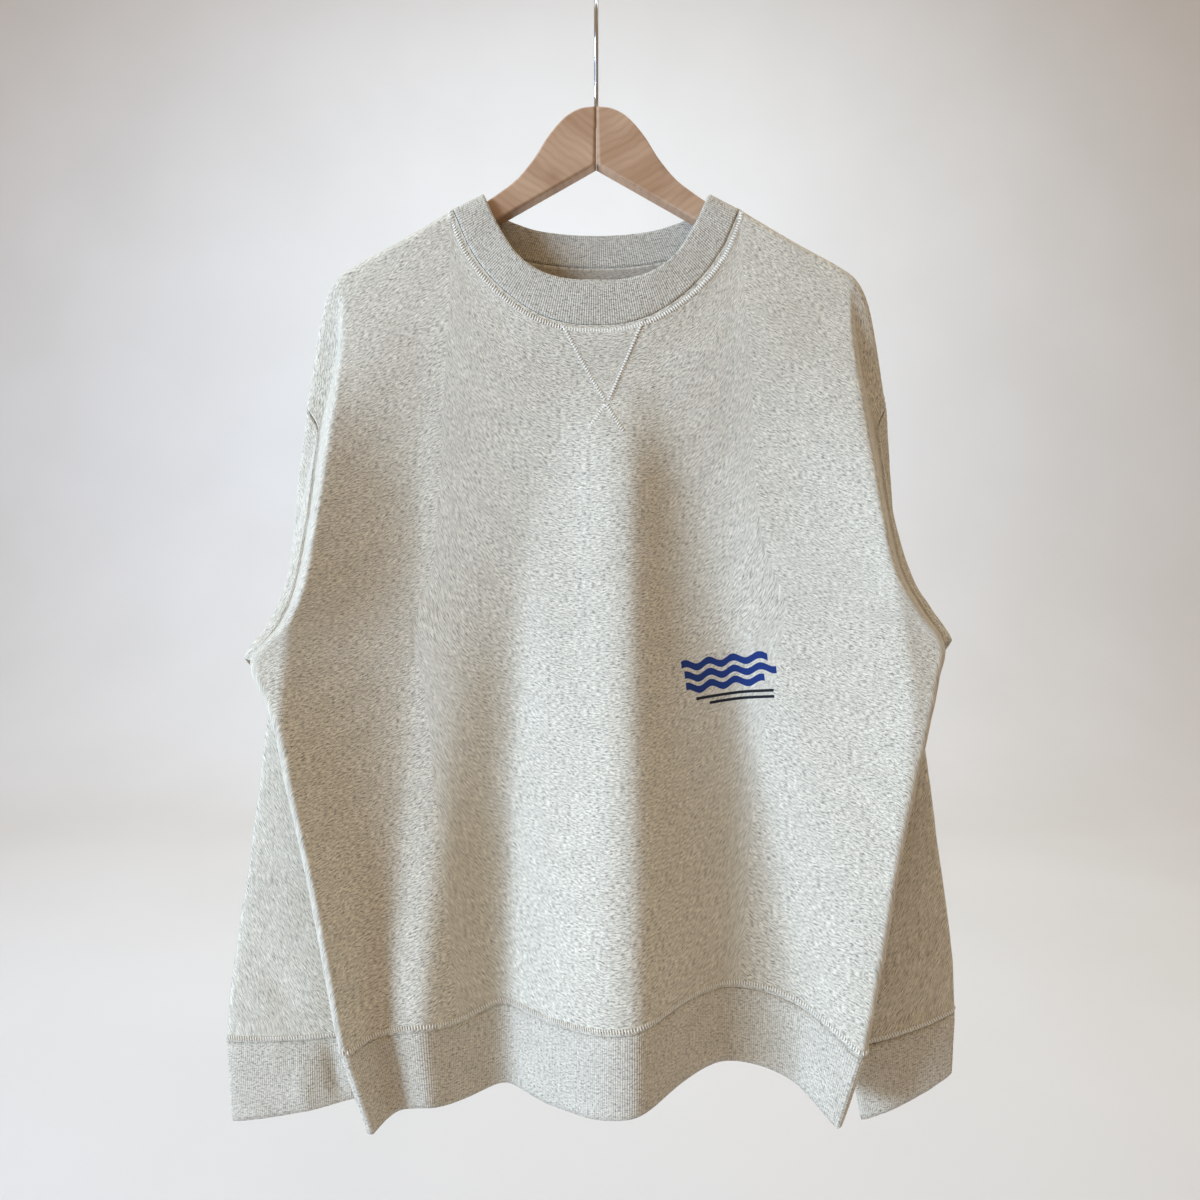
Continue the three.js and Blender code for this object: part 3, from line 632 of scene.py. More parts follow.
class Shader:
    """A material's nodes, with short ways to add and join them."""

    def __init__(self, name: str) -> None:
        """Starts a material with an empty tree.

        Args:
            name: the material's name.
        """
        self.material = bpy.data.materials.new(name)
        self.material.use_nodes = True
        self.tree = self.material.node_tree
        self.tree.nodes.clear()

    def add(self, kind: str, inputs: dict | None = None, **settings: object) -> bpy.types.Node:
        """Adds a node.

        Args:
            kind: its type, without the leading ShaderNode.
            inputs: numbers, colours or other nodes' sockets, by the input's name or number.
            settings: the node's own properties.

        Returns:
            The node.
        """
        node = self.tree.nodes.new("ShaderNode" + kind)
        for name, value in settings.items():
            setattr(node, name, value)
        for name, value in (inputs or {}).items():
            if isinstance(value, bpy.types.NodeSocket):
                self.tree.links.new(value, node.inputs[name])
            else:
                node.inputs[name].default_value = value
        return node

    def math(self, operation: str, *values: Input, clamp: bool = False) -> bpy.types.NodeSocket:
        """Adds a Math node and returns its output."""
        inputs = dict(enumerate(values))
        return self.add("Math", inputs, operation=operation, use_clamp=clamp).outputs[0]

    def blend(self, share: Input, low: Input, high: Input) -> bpy.types.NodeSocket:
        """Adds a mix of two colours.

        Args:
            share: how much of the second one shows.
            low: the first colour.
            high: the second colour.

        Returns:
            The mix's colour.
        """
        node = self.add("Mix", data_type="RGBA")
        for name, value in (("Factor", share), ("A", low), ("B", high)):
            socket = next(s for s in node.inputs if s.name == name and s.enabled)
            if isinstance(value, bpy.types.NodeSocket):
                self.tree.links.new(value, socket)
            else:
                socket.default_value = value
        return next(s for s in node.outputs if s.enabled)

    def ramp(self, value: Input, *stops: tuple[float, tuple]) -> bpy.types.NodeSocket:
        """Adds a colour ramp.

        Args:
            value: what it reads.
            stops: places from 0 to 1, each with its colour.

        Returns:
            The ramp's colour.
        """
        node = self.add("ValToRGB", {"Fac": value})
        elements = node.color_ramp.elements
        while len(elements) < len(stops):
            elements.new(0.5)
        for element, (place, colour) in zip(elements, stops):
            element.position = place
            element.color = colour
        return node.outputs["Color"]

    def noise(
        self, place: Input, scale: float, detail: float = 2, rough: float = 0.5
    ) -> bpy.types.NodeSocket:
        """Adds a noise and returns its value."""
        inputs = {"Vector": place, "Scale": scale, "Detail": detail, "Roughness": rough}
        return self.add("TexNoise", inputs).outputs["Fac"]

    def stretch(self, place: Input, scale: tuple, turn: tuple = (0, 0, 0)) -> bpy.types.NodeSocket:
        """Adds a Mapping node that scales and turns a pattern, and returns its vector."""
        return self.add("Mapping", {"Vector": place, "Scale": scale, "Rotation": turn}).outputs[0]

    def bump(
        self,
        height: Input,
        distance: float,
        strength: float = 1,
        under: bpy.types.NodeSocket | None = None,
    ) -> bpy.types.NodeSocket:
        """Adds a bump.

        Args:
            height: what it reads.
            distance: how far it stands out, in metres.
            strength: how strongly it shows.
            under: the normal of the bump that it lies on, if there is one.

        Returns:
            Its normal.
        """
        inputs = {"Height": height, "Distance": distance, "Strength": strength}
        if under is not None:
            inputs["Normal"] = under
        return self.add("Bump", inputs).outputs[0]

    def close(self, inputs: dict) -> bpy.types.Material:
        """Ends the tree with the surface shader.

        Args:
            inputs: the surface shader's inputs, by name.

        Returns:
            The finished material.
        """
        surface = self.add("BsdfPrincipled", inputs)
        self.add("OutputMaterial", {"Surface": surface.outputs[0]})
        return self.material


def paint(red: float, green: float, blue: float) -> tuple[float, float, float, float]:
    """Makes a shader colour from one that is given as 0 to 255 on a screen.

    Args:
        red: its red.
        green: its green.
        blue: its blue.

    Returns:
        The colour, linear and opaque.
    """
    values = np.array([red, green, blue]) / 255
    linear = np.where(values <= 0.04045, values / 12.92, ((values + 0.055) / 1.055) ** 2.4)
    return (*(float(v) for v in linear), 1.0)


@dataclass(frozen=True)
class Heather:
    """Oatmeal heather yarn: pale cotton with grey and darker fibres drawn out along the courses."""

    name: str
    pale: tuple
    grey: tuple
    cream: tuple
    fleck: tuple[float, float] = (230, 900)
    spread: tuple[float, float] = (0.36, 0.62)
    knit: float = 0.00014
    # how much painted shade darkens the grooves between the ribs
    groove_shade: float = 0
    motif: bool = False

    def colour(self, shader: Shader, place: bpy.types.NodeSocket) -> bpy.types.NodeSocket:
        """Makes the yarn's colour, flecked in streaks across the cloth.

        Args:
            shader: the material's nodes.
            place: the place on the cloth, in metres.

        Returns:
            The colour.
        """
        long, tall = self.fleck
        bent = shader.noise(place, 60, 2, 0.5)
        drift = shader.add("CombineXYZ", {"Y": shader.math("MULTIPLY", bent, 0.006)}).outputs[0]
        wavy = shader.add("VectorMath", {0: place, 1: drift}, operation="ADD").outputs[0]
        streaks = shader.noise(shader.stretch(wavy, (long, tall, 1)), 1, 4, 0.7)
        fibres = shader.noise(shader.stretch(wavy, (long * 3.1, tall * 1.6, 1), (0, 0, 0.2)), 1, 3, 0.7)
        clouds = shader.noise(shader.stretch(place, (34, 60, 1)), 1, 3, 0.6)
        low, high = self.spread
        yarn = shader.ramp(streaks, (low, self.grey), ((low + high) / 2, self.cream), (high, self.pale))
        dark, bright = (0.62, 0.62, 0.63, 1), (1.2, 1.2, 1.2, 1)
        tone = shader.ramp(fibres, (0.28, dark), (0.5, (1, 1, 1, 1)), (0.75, bright))
        cloudy = shader.ramp(clouds, (0.3, (0.93, 0.93, 0.93, 1)), (0.7, (1.05, 1.05, 1.05, 1)))
        fine = shader.add("VectorMath", {0: yarn, 1: tone}, operation="MULTIPLY").outputs[0]
        return shader.add("VectorMath", {0: fine, 1: cloudy}, operation="MULTIPLY").outputs[0]

    def ribs(self, shader: Shader, colour: bpy.types.NodeSocket) -> bpy.types.NodeSocket:
        """Paints shade into the grooves between the ribs.

        Args:
            shader: the material's nodes.
            colour: the cloth's colour.

        Returns:
            The colour with the painted groove shade.
        """
        wales = shader.add("SeparateXYZ", {0: shader.add("UVMap", uv_map="Wales").outputs[0]}).outputs[0]
        wave = shader.math("COSINE", shader.math("MULTIPLY", wales, 2 * np.pi))
        # painted shade: the grooves' colour is darkened where shade falls between the ribs
        dark = 1 - self.groove_shade
        height = shader.math("MULTIPLY_ADD", wave, 0.5, 0.5)
        shade = shader.ramp(height, (0, (dark, dark, dark, 1)), (0.6, (1, 1, 1, 1)))
        return shader.add("VectorMath", {0: colour, 1: shade}, operation="MULTIPLY").outputs[0]

    def build(self) -> bpy.types.Material:
        """Builds the material.

        Returns:
            The finished material.
        """
        shader = Shader(self.name)
        place = shader.add("UVMap", uv_map="Cloth").outputs[0]
        colour = self.colour(shader, place)
        if self.motif:
            colour = Motif().over(shader, colour)
        # rib cloth gets painted shade in its grooves
        if self.groove_shade:
            colour = self.ribs(shader, colour)
        wales = shader.noise(shader.stretch(place, (900, 1300, 1)), 1, 2, 0.55)
        pile = shader.noise(place, 420, 3, 0.6)
        normal = shader.bump(pile, self.knit * 1.6, 0.7)
        normal = shader.bump(wales, self.knit, 0.8, normal)
        return shader.close(
            {
                "Base Color": colour,
                "Roughness": 0.92,
                "Normal": normal,
                "Sheen Weight": 0.25,
                "Sheen Roughness": 0.45,
                "Specular IOR Level": 0.25,
            }
        )


@dataclass(frozen=True)
class Motif:
    """A plain printed motif: three navy waves over two thin black bars."""

    centre: tuple[float, float] = (118, -577)
    tilt: float = -0.12
    navy: tuple = paint(28, 52, 112)
    black: tuple = paint(30, 32, 38)
    wave: float = 22
    swing: float = 2.2
    waves: tuple = ((-4, 14, 38, 3.2), (0, 4, 40, 3.2), (-5, -6, 35, 3.2))
    bars: tuple = ((2, -16, 34, 1.3), (8, -21.5, 28, 1.3))

    def over(self, shader: Shader, colour: bpy.types.NodeSocket) -> bpy.types.NodeSocket:
        """Prints the motif over the cloth.

        Args:
            shader: the material's nodes.
            colour: the cloth's colour.

        Returns:
            The printed colour.
        """
        place = shader.add("TexCoord").outputs["Object"]
        x0, z0 = self.centre
        away = shader.add("VectorMath", {0: place, 1: (x0 * MM, 0, z0 * MM)}, operation="SUBTRACT")
        turned = shader.stretch(away.outputs[0], (1000, 1000, 1000), (0, -self.tilt, 0))
        parts = shader.add("SeparateXYZ", {0: turned})
        x, z = parts.outputs["X"], parts.outputs["Z"]
        phase = shader.math("DIVIDE", x, self.wave / (2 * np.pi))
        swell = shader.math("MULTIPLY", shader.math("SINE", phase), self.swing)
        masks = [self.mask(shader, x, shader.math("SUBTRACT", z, swell), shape) for shape in self.waves]
        blue = masks[0]
        for mask in masks[1:]:
            blue = shader.math("MAXIMUM", blue, mask)
        dark = [self.mask(shader, x, z, shape) for shape in self.bars]
        ink = shader.math("MAXIMUM", dark[0], dark[1])
        return shader.blend(ink, shader.blend(blue, colour, self.navy), self.black)

    def mask(
        self, shader: Shader, x: bpy.types.NodeSocket, z: bpy.types.NodeSocket, shape: tuple
    ) -> bpy.types.NodeSocket:
        """Marks one bar of the motif.

        Args:
            shader: the material's nodes.
            x: the place along the motif, in millimetres.
            z: the place up it.
            shape: the bar's centre, half length and half height.

        Returns:
            1 inside the bar and 0 outside.
        """
        x0, z0, long, tall = shape
        beside = shader.math("LESS_THAN", shader.math("ABSOLUTE", shader.math("SUBTRACT", x, x0)), long)
        within = shader.math("LESS_THAN", shader.math("ABSOLUTE", shader.math("SUBTRACT", z, z0)), tall)
        return shader.math("MULTIPLY", beside, within)


@dataclass(frozen=True)
class Thread:
    """Matt sewing thread a little paler than the cloth."""

    name: str = "seam_thread"
    colour: tuple = paint(252, 248, 238)

    def build(self) -> bpy.types.Material:
        """Builds the material.

        Returns:
            The finished material.
        """
        shader = Shader(self.name)
        place = shader.add("TexCoord").outputs["Object"]
        twist = shader.noise(place, 900, 2, 0.5)
        colour = shader.ramp(twist, (0.3, paint(236, 230, 216)), (0.7, self.colour))
        return shader.close({"Base Color": colour, "Roughness": 0.8, "Sheen Weight": 0.2})


@dataclass(frozen=True)
class PaleWood:
    """Pale sanded beech under a thin satin lacquer, with its grain along one arm of the hanger."""

    name: str
    tilt: float
    knots: tuple = ()

    def build(self) -> bpy.types.Material:
        """Builds the material.

        Returns:
            The finished material.
        """
        shader = Shader(self.name)
        place = shader.add("TexCoord").outputs["Object"]
        along = shader.stretch(place, (1, 1, 1), (0, self.tilt, 0))
        drift = shader.noise(shader.stretch(along, (9, 30, 42)), 1, 2, 0.5)
        fine = shader.noise(shader.stretch(along, (34, 260, 900)), 1, 4, 0.6)
        pores = shader.noise(shader.stretch(along, (160, 900, 1900)), 1, 2, 0.6)
        lines = shader.add(
            "TexWave",
            {"Vector": along, "Scale": 46, "Distortion": 5.5, "Detail": 3, "Detail Scale": 0.8},
            bands_direction="Z",
        ).outputs["Fac"]
        colour = shader.ramp(drift, (0.32, paint(174, 135, 103)), (0.7, paint(199, 164, 133)))
        grain = shader.ramp(lines, (0.1, (0.92, 0.90, 0.88, 1)), (0.6, (1, 1, 1, 1)))
        colour = shader.add("VectorMath", {0: colour, 1: grain}, operation="MULTIPLY").outputs[0]
        streak = shader.ramp(fine, (0.32, (0.93, 0.92, 0.90, 1)), (0.62, (1.02, 1.02, 1.01, 1)))
        colour = shader.add("VectorMath", {0: colour, 1: streak}, operation="MULTIPLY").outputs[0]
        for x, z, reach, dark in self.knots:
            near = shader.add(
                "VectorMath",
                {0: shader.stretch(place, (1000, 0, 1000)), 1: (x, 0, z)},
                operation="DISTANCE",
            ).outputs["Value"]
            wavy = shader.math("ADD", near, shader.math("MULTIPLY", drift, reach * 0.8))
            spot = shader.math("SUBTRACT", 1, shader.math("DIVIDE", wavy, reach * 1.7), clamp=True)
            colour = shader.blend(shader.math("MULTIPLY", spot, dark), colour, paint(120, 78, 52))
        normal = shader.bump(fine, 0.00006, 0.5)
        normal = shader.bump(pores, 0.00004, 0.4, normal)
        rough = shader.ramp(fine, (0.3, (0.5, 0.5, 0.5, 1)), (0.7, (0.36, 0.36, 0.36, 1)))
        return shader.close(
            {
                "Base Color": colour,
                "Roughness": rough,
                "Normal": normal,
                "Coat Weight": 0.18,
                "Coat Roughness": 0.25,
            }
        )


@dataclass(frozen=True)
class Chrome:
    """Polished wire, lightly brushed along its length."""

    name: str = "chromed_wire"

    def build(self) -> bpy.types.Material:
        """Builds the material.

        Returns:
            The finished material.
        """
        shader = Shader(self.name)
        place = shader.add("TexCoord").outputs["Object"]
        wear = shader.noise(shader.stretch(place, (900, 900, 120)), 1, 3, 0.6)
        rough = shader.ramp(wear, (0.3, (0.12, 0.12, 0.12, 1)), (0.75, (0.3, 0.3, 0.3, 1)))
        colour = shader.ramp(wear, (0.3, paint(206, 208, 212)), (0.8, paint(176, 178, 184)))
        normal = shader.bump(wear, 0.00002, 0.4)
        return shader.close(
            {"Base Color": colour, "Metallic": 1.0, "Roughness": rough, "Normal": normal}
        )


class Wardrobe:
    """All the finishes, each built once."""

    def __init__(self) -> None:
        """Builds every finish."""
        pale, grey, cream = paint(238, 230, 211), paint(136, 130, 118), paint(211, 201, 180)
        fleece = {"pale": pale, "grey": grey, "cream": cream}
        self.front = Heather("heather_fleece_front", **fleece, motif=True).build()
        self.fleece = Heather("heather_fleece_plain", **fleece).build()
        knit = {"pale": paint(232, 224, 206), "grey": paint(152, 145, 132), "cream": paint(216, 206, 186)}
        # the rib finishes paint shade into their grooves, deeper on the neck band
        self.rib = Heather("heather_rib_hem", **knit, fleck=(300, 700), groove_shade=0.2).build()
        self.neck_rib = Heather("heather_rib_neck", **knit, fleck=(300, 700), groove_shade=0.42).build()
        self.tape = Heather(
            "heather_neck_tape",
            pale=paint(192, 183, 166),
            grey=paint(138, 130, 118),
            cream=paint(182, 170, 150),
        ).build()
        self.thread = Thread().build()
        self.wood = {
            Side.LEFT: PaleWood("pale_wood_left", -0.62, ((-62, -127, 9, 0.7), (-36, -150, 7, 0.35))).build(),
            Side.RIGHT: PaleWood("pale_wood_right", 0.55, ((58, -143, 4, 0.3),)).build(),
        }
        self.chrome = Chrome().build()


# ---- cloth ---------------------------------------------------------------


@dataclass
class Weave:
    """A piece of cloth laid out as a grid, with distances along it."""

    u: np.ndarray
    v: np.ndarray
    points: np.ndarray
    across: np.ndarray
    along: np.ndarray
    out: np.ndarray

    @classmethod
    def lay(cls, surface: Surface, columns: int, rows: int) -> "Weave":
        """Samples a surface as a grid.

        Args:
            surface: the surface, in millimetres.
            columns: cells across.
            rows: cells along.

        Returns:
            The grid.
        """
        u, v = np.meshgrid(np.linspace(0, 1, columns + 1), np.linspace(0, 1, rows + 1))
        points = surface(u, v)
        across = cls.run(points, 1)
        across -= across[:, columns // 2 : columns // 2 + 1]
        along = cls.run(points, 0)
        along -= along[-1:]
        out = np.cross(np.gradient(points, axis=1), np.gradient(points, axis=0))
        out /= np.maximum(np.linalg.norm(out, axis=-1, keepdims=True), 1e-9)
        return cls(u, v, points, across, along, out)

    @staticmethod
    def run(points: np.ndarray, axis: int) -> np.ndarray:
        """Measures along each row or column of points.

        Args:
            points: the grid's points.
            axis: 1 for rows and 0 for columns.

        Returns:
            The distance run up to each point.
        """
        steps = np.linalg.norm(np.diff(points, axis=axis), axis=-1)
        start = np.zeros_like(np.take(steps, [0], axis=axis))
        return np.concatenate([start, np.cumsum(steps, axis=axis)], axis=axis)

    @property
    def area(self) -> float:
        """Adds up the cloth's area.

        Returns:
            The area in square metres.
        """
        du = np.diff(self.points, axis=1)[:-1]
        dv = np.diff(self.points, axis=0)[:, :-1]
        return float(np.linalg.norm(np.cross(du, dv), axis=-1).sum()) * MM * MM

    def cut(self, level: float) -> tuple[float, float]:
        """Measures the rectangle that the cloth is cut from.

        Args:
            level: the share of the length, from its foot, up to which the width is measured.

        Returns:
            Its width and length, in metres.
        """
        rows = self.across[: int(level * len(self.across)) or 1]
        width = float((rows[:, -1] - rows[:, 0]).max()) * MM
        length = float((self.along[-1] - self.along[0]).max()) * MM
        return width, max(length, self.area / width)


def ripple(x: np.ndarray, z: np.ndarray, reach: float, seed: int) -> np.ndarray:
    """Works out a slight unevenness.

    Args:
        x: places across, in millimetres.
        z: heights there.
        reach: about how far apart it repeats.
        seed: where its random draws start.

    Returns:
        A height between about -1 and 1 at each point.
    """
    rng = np.random.default_rng(seed)
    total = np.zeros(np.broadcast(x, z).shape)
    for _ in range(9):
        angle, phase = rng.uniform(0, 2 * np.pi, 2)
        pitch = reach * rng.uniform(0.6, 1.7)
        total += np.sin((x * np.cos(angle) + z * np.sin(angle)) * 2 * np.pi / pitch + phase)
    return total / 4


def uneven(weave: Weave, *waves: tuple[float, float, int]) -> np.ndarray:
    """Adds up the slight unevenness of a cloth.

    Args:
        weave: the cloth as it is laid out.
        waves: height, reach and seed of each ripple.

    Returns:
        The height at each point.
    """
    x, z = weave.points[..., 0], weave.points[..., 2]
    return sum(height * ripple(x, z, reach, seed) for height, reach, seed in waves)


@dataclass
class Cloth:
    """One cut piece of cloth, bent onto its surface and given its wall."""

    name: str
    node: str
    surface: Surface
    cells: tuple[int, int]
    wall: float
    finish: bpy.types.Material
    slot: Slot
    relief: Callable[[Weave], np.ndarray] | None = None
    pitch: float = 0
    height: float = 0.22
    weave: Weave | None = None
    level: float = 1
    narrowest: float = 0.0101  # metres, the narrowest strip that is cut

    def build(self) -> bpy.types.Object:
        """Returns:
            The piece.
        """
        weave = Weave.lay(self.surface, *self.cells)
        self.weave = weave
        relief = np.zeros(weave.u.shape) if self.relief is None else self.relief(weave)
        ribs = rib_relief(weave, self.height) if self.pitch else 0
        faces = relief + ribs + self.wall / 2, relief - ribs - self.wall / 2
        sides = [weave.points + weave.out * off[..., None] for off in faces]
        cloth = bmesh.new()
        bmesh.ops.create_grid(cloth, x_segments=self.cells[0], y_segments=self.cells[1], size=0.5)
        outer = cloth.faces[:]
        grown = bmesh.ops.extrude_face_region(cloth, geom=outer, use_keep_orig=True)["geom"]
        inner = [g for g in grown if isinstance(g, bmesh.types.BMVert)]
        bmesh.ops.translate(cloth, verts=inner, vec=(0, 0, -1))
        columns = np.rint([(v.co.x + 0.5) * self.cells[0] for v in cloth.verts]).astype(int)
        rows = np.rint([(v.co.y + 0.5) * self.cells[1] for v in cloth.verts]).astype(int)
        layers = np.array([v.co.z < -0.5 for v in cloth.verts])
        places = np.where(layers[:, None], sides[1][rows, columns], sides[0][rows, columns]) * MM
        for vert, place in zip(cloth.verts, places):
            vert.co = place
        bmesh.ops.recalc_face_normals(cloth, faces=cloth.faces)
        piece = make_piece(cloth, self.name, self.finish)
        mesh = piece.data
        self.unwrap(mesh, "Cloth", weave.across[rows, columns] * MM, weave.along[rows, columns] * MM)
        if self.pitch:
            wales = weave.u[rows, columns] * self.cells[0] / 4
            self.unwrap(mesh, "Wales", wales, weave.along[rows, columns] * MM)
        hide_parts(self.node)
        width, length = (size / MM for size in weave.cut(self.level))
        LOG.info("%s: %.0f x %.0f mm, %.4f m2", self.name, width, length, weave.area)
        return piece

    def unwrap(self, mesh: bpy.types.Mesh, name: str, across: np.ndarray, along: np.ndarray) -> None:
        """Adds a UV map.

        Args:
            mesh: the piece's mesh.
            name: the map's name.
            across: its first value at every vertex.
            along: its second value there.
        """
        layer = mesh.uv_layers.new(name=name)
        corners = np.empty(len(mesh.loops), dtype=np.int32)
        mesh.loops.foreach_get("vertex_index", corners)
        flat = np.stack([across[corners], along[corners]], axis=-1)
        layer.data.foreach_set("uv", flat.ravel().astype(np.float32))

    def declare(self, piece: bpy.types.Object, rests_on: list, with_pieces: list | None = None) -> None:
        """Args:
            piece: the built piece; not used.
            rests_on: names of the pieces that it rests on; not used.
            with_pieces: the stitching that goes with it; not used.
        """
        width, length = self.weave.cut(self.level)
        length = max(length, self.narrowest)


@dataclass
class Stitching:
    """Rows of stitches laid on a surface."""

    name: str
    thread: bpy.types.Material
    pitch: float = 2.3
    lift: float = 0.4
    cover_size: tuple[float, float] = (0.6, 0.55)  # half its size along the seam and off the cloth
    cover_slant: float = 0.12
    mesh: bmesh.types.BMesh = field(default_factory=bmesh.new)

    def row(self, surface: Surface, line: np.ndarray, radii: tuple, wall: float, slant: float = 0) -> None:
        """Lays one stitch at each pitch along a line.

        Args:
            surface: the surface under the stitches, in millimetres.
            line: shares of the surface that the line passes through, as rows of u and v.
            radii: half the stitch's size along the line, across it and off the cloth.
            wall: the cloth's thickness.
            slant: how far each stitch leans from square to the line, in radians.
        """
        points = surface(line[:, 0], line[:, 1])
        run = np.concatenate([[0], np.cumsum(np.linalg.norm(np.diff(points, axis=0), axis=1))])
        places = np.arange(self.pitch / 2, run[-1], self.pitch)
        u, v = (np.interp(places, run, line[:, i]) for i in (0, 1))
        at = surface(u, v)
        ahead = np.stack([np.interp(places + 0.5, run, points[:, i]) for i in range(3)], axis=-1)
        behind = np.stack([np.interp(places - 0.5, run, points[:, i]) for i in range(3)], axis=-1)
        along = ahead - behind
        for place, way, up in zip(at, along, outward(surface, u, v)):
            up = Vector(up).normalized()
            way = Vector(way).normalized()
            beside = up.cross(way).normalized()
            way = beside.cross(up)
            centre = Vector(place) + up * (wall / 2 + self.lift)
            turn = Matrix((way, beside, up)).transposed().to_4x4()
            lean = Matrix.Rotation(slant, 4, "Z")
            size = Matrix.Diagonal((*radii, 1))
            scale = Matrix.Diagonal((MM, MM, MM, 1))
            matrix = scale @ Matrix.Translation(centre) @ turn @ lean @ size
            bmesh.ops.create_icosphere(self.mesh, subdivisions=1, radius=1, matrix=matrix)

    def cover(self, surface: Surface, line: np.ndarray, wall: float, wide: float = 2.5) -> None:
        """Lays a band of cover stitch: short threads square to the seam."""
        along, off = self.cover_size
        self.row(surface, line, (along, wide, off), wall, slant=self.cover_slant)

    def finish(self, slot: Slot) -> bpy.types.Object:
        """Makes the stitches one piece and returns it."""
        return make_piece(self.mesh, self.name, self.thread)


def rib_relief(weave: Weave, height: float) -> np.ndarray:
    """Returns the height of a rib knit's ridges, which run along the piece, four cells to each."""
    ribs = (weave.u.shape[1] - 1) / 4
    return height * np.cos(2 * np.pi * ribs * weave.u)


def rib_cells(surface: Surface, pitch: float, rows: int) -> tuple[int, int]:
    """Returns a grid with four cells to each rib."""
    line = Weave.lay(surface, 400, 2).across[1]
    return 4 * round((line[-1] - line[0]) / pitch), rows


# ---- the garment's pieces ------------------------------------------------


@dataclass
class Panels:
    """Front and back panel."""

    body: Body
    finishes: Wardrobe
    front_cells: tuple[int, int] = (224, 200)
    back_cells: tuple[int, int] = (144, 160)
    level: float = 0.5
    front_waves: tuple = ((0.5, 70, 3), (0.16, 22, 5))
    back_waves: tuple = ((0.5, 80, 11), (0.16, 22, 12))
    flattened: tuple[float, float] = (3, 18)  # from a seam, where the waves start and are full
    ridges: tuple[float, float] = (1.9, 6.1)
    ridge_size: tuple[float, float] = (0.55, 1.1)  # height and half width
    ditch: float = 4
    ditch_size: tuple[float, float] = (0.45, 0.8)
    pucker_height: float = 0.3
    pucker_reach: float = 17
    pucker_fall: float = 9
    pucker_seed: int = 8
    back_creases: tuple = (
        Crease((-150, -330), (-60, -470), 3.0, 16),
        Crease((150, -320), (80, -450), 2.5, 18),
        Crease((-190, -560), (-120, -600), 3.5, 14),
        Crease((200, -545), (130, -610), 3.0, 15),
        Crease((-30, -240), (40, -262), 1.2, 12),
    )

    def front_relief(self, weave: Weave) -> np.ndarray:
        """Returns the front's small unevenness, its sides' ridges and the puckers at its hem."""
        relief = uneven(weave, *self.front_waves) * self.sewn_flat(weave)
        return relief + self.seam_ridge(weave) + self.hem_puckers(weave)

    def back_relief(self, weave: Weave) -> np.ndarray:
        """Works out the back's small unevenness, its creases and the puckers at its hem.

        Args:
            weave: the cloth as it is laid out.

        Returns:
            The height at each point.
        """
        x, z = weave.points[..., 0], weave.points[..., 2]
        relief = uneven(weave, *self.back_waves) * self.sewn_flat(weave)
        return relief - sum(c.press(x, z) for c in self.back_creases) + self.hem_puckers(weave)

    def sewn_flat(self, weave: Weave) -> np.ndarray:
        """Returns 1 on the open cloth, falling to 0 at the seams above and below it."""
        ends = np.minimum(weave.along - weave.along[:1], weave.along[-1:] - weave.along)
        return smooth(*self.flattened, ends)

    def seam_ridge(self, weave: Weave) -> np.ndarray:
        """Works out the two ridges that the turned seam allowance makes beside each side seam.

        Args:
            weave: the cloth as it is laid out.

        Returns:
            The height at each point.
        """
        width = weave.across
        off = np.minimum(width - width[:, :1], width[:, -1:] - width)
        height, reach = self.ridge_size
        depth, narrow = self.ditch_size
        ridges = sum(np.exp(-(((off - middle) / reach) ** 2)) for middle in self.ridges)
        return height * ridges - depth * np.exp(-(((off - self.ditch) / narrow) ** 2))

    def hem_puckers(self, weave: Weave) -> np.ndarray:
        """Works out the puckers that fan out from the hem band's seam.

        Args:
            weave: the cloth as it is laid out.

        Returns:
            The height at each point.
        """
        up = weave.along - weave.along[:1]
        wave = ripple(weave.across, 0 * up, self.pucker_reach, self.pucker_seed)
        return self.pucker_height * wave * np.exp(-up / self.pucker_fall)

    def build(self) -> dict[str, tuple[Cloth, bpy.types.Object]]:
        """Builds both panels.

        Returns:
            Each cloth and its piece, by name.
        """
        made = {}
        front = crowded(inset(self.body.front, self.body.front_size))
        back = inset(self.body.back, self.body.back_size)
        rows = (
            ("panel_front", "front_panel", front, self.front_cells, self.finishes.front, self.front_relief),
            ("panel_back", "back_panel", back, self.back_cells, self.finishes.fleece, self.back_relief),
        )
        for name, node, surface, cells, finish, relief in rows:
            cloth = Cloth(
                name, node, surface, cells, self.body.fleece, finish, Slot.FLEECE, relief, level=self.level
            )
            made[name] = (cloth, cloth.build())
        return made


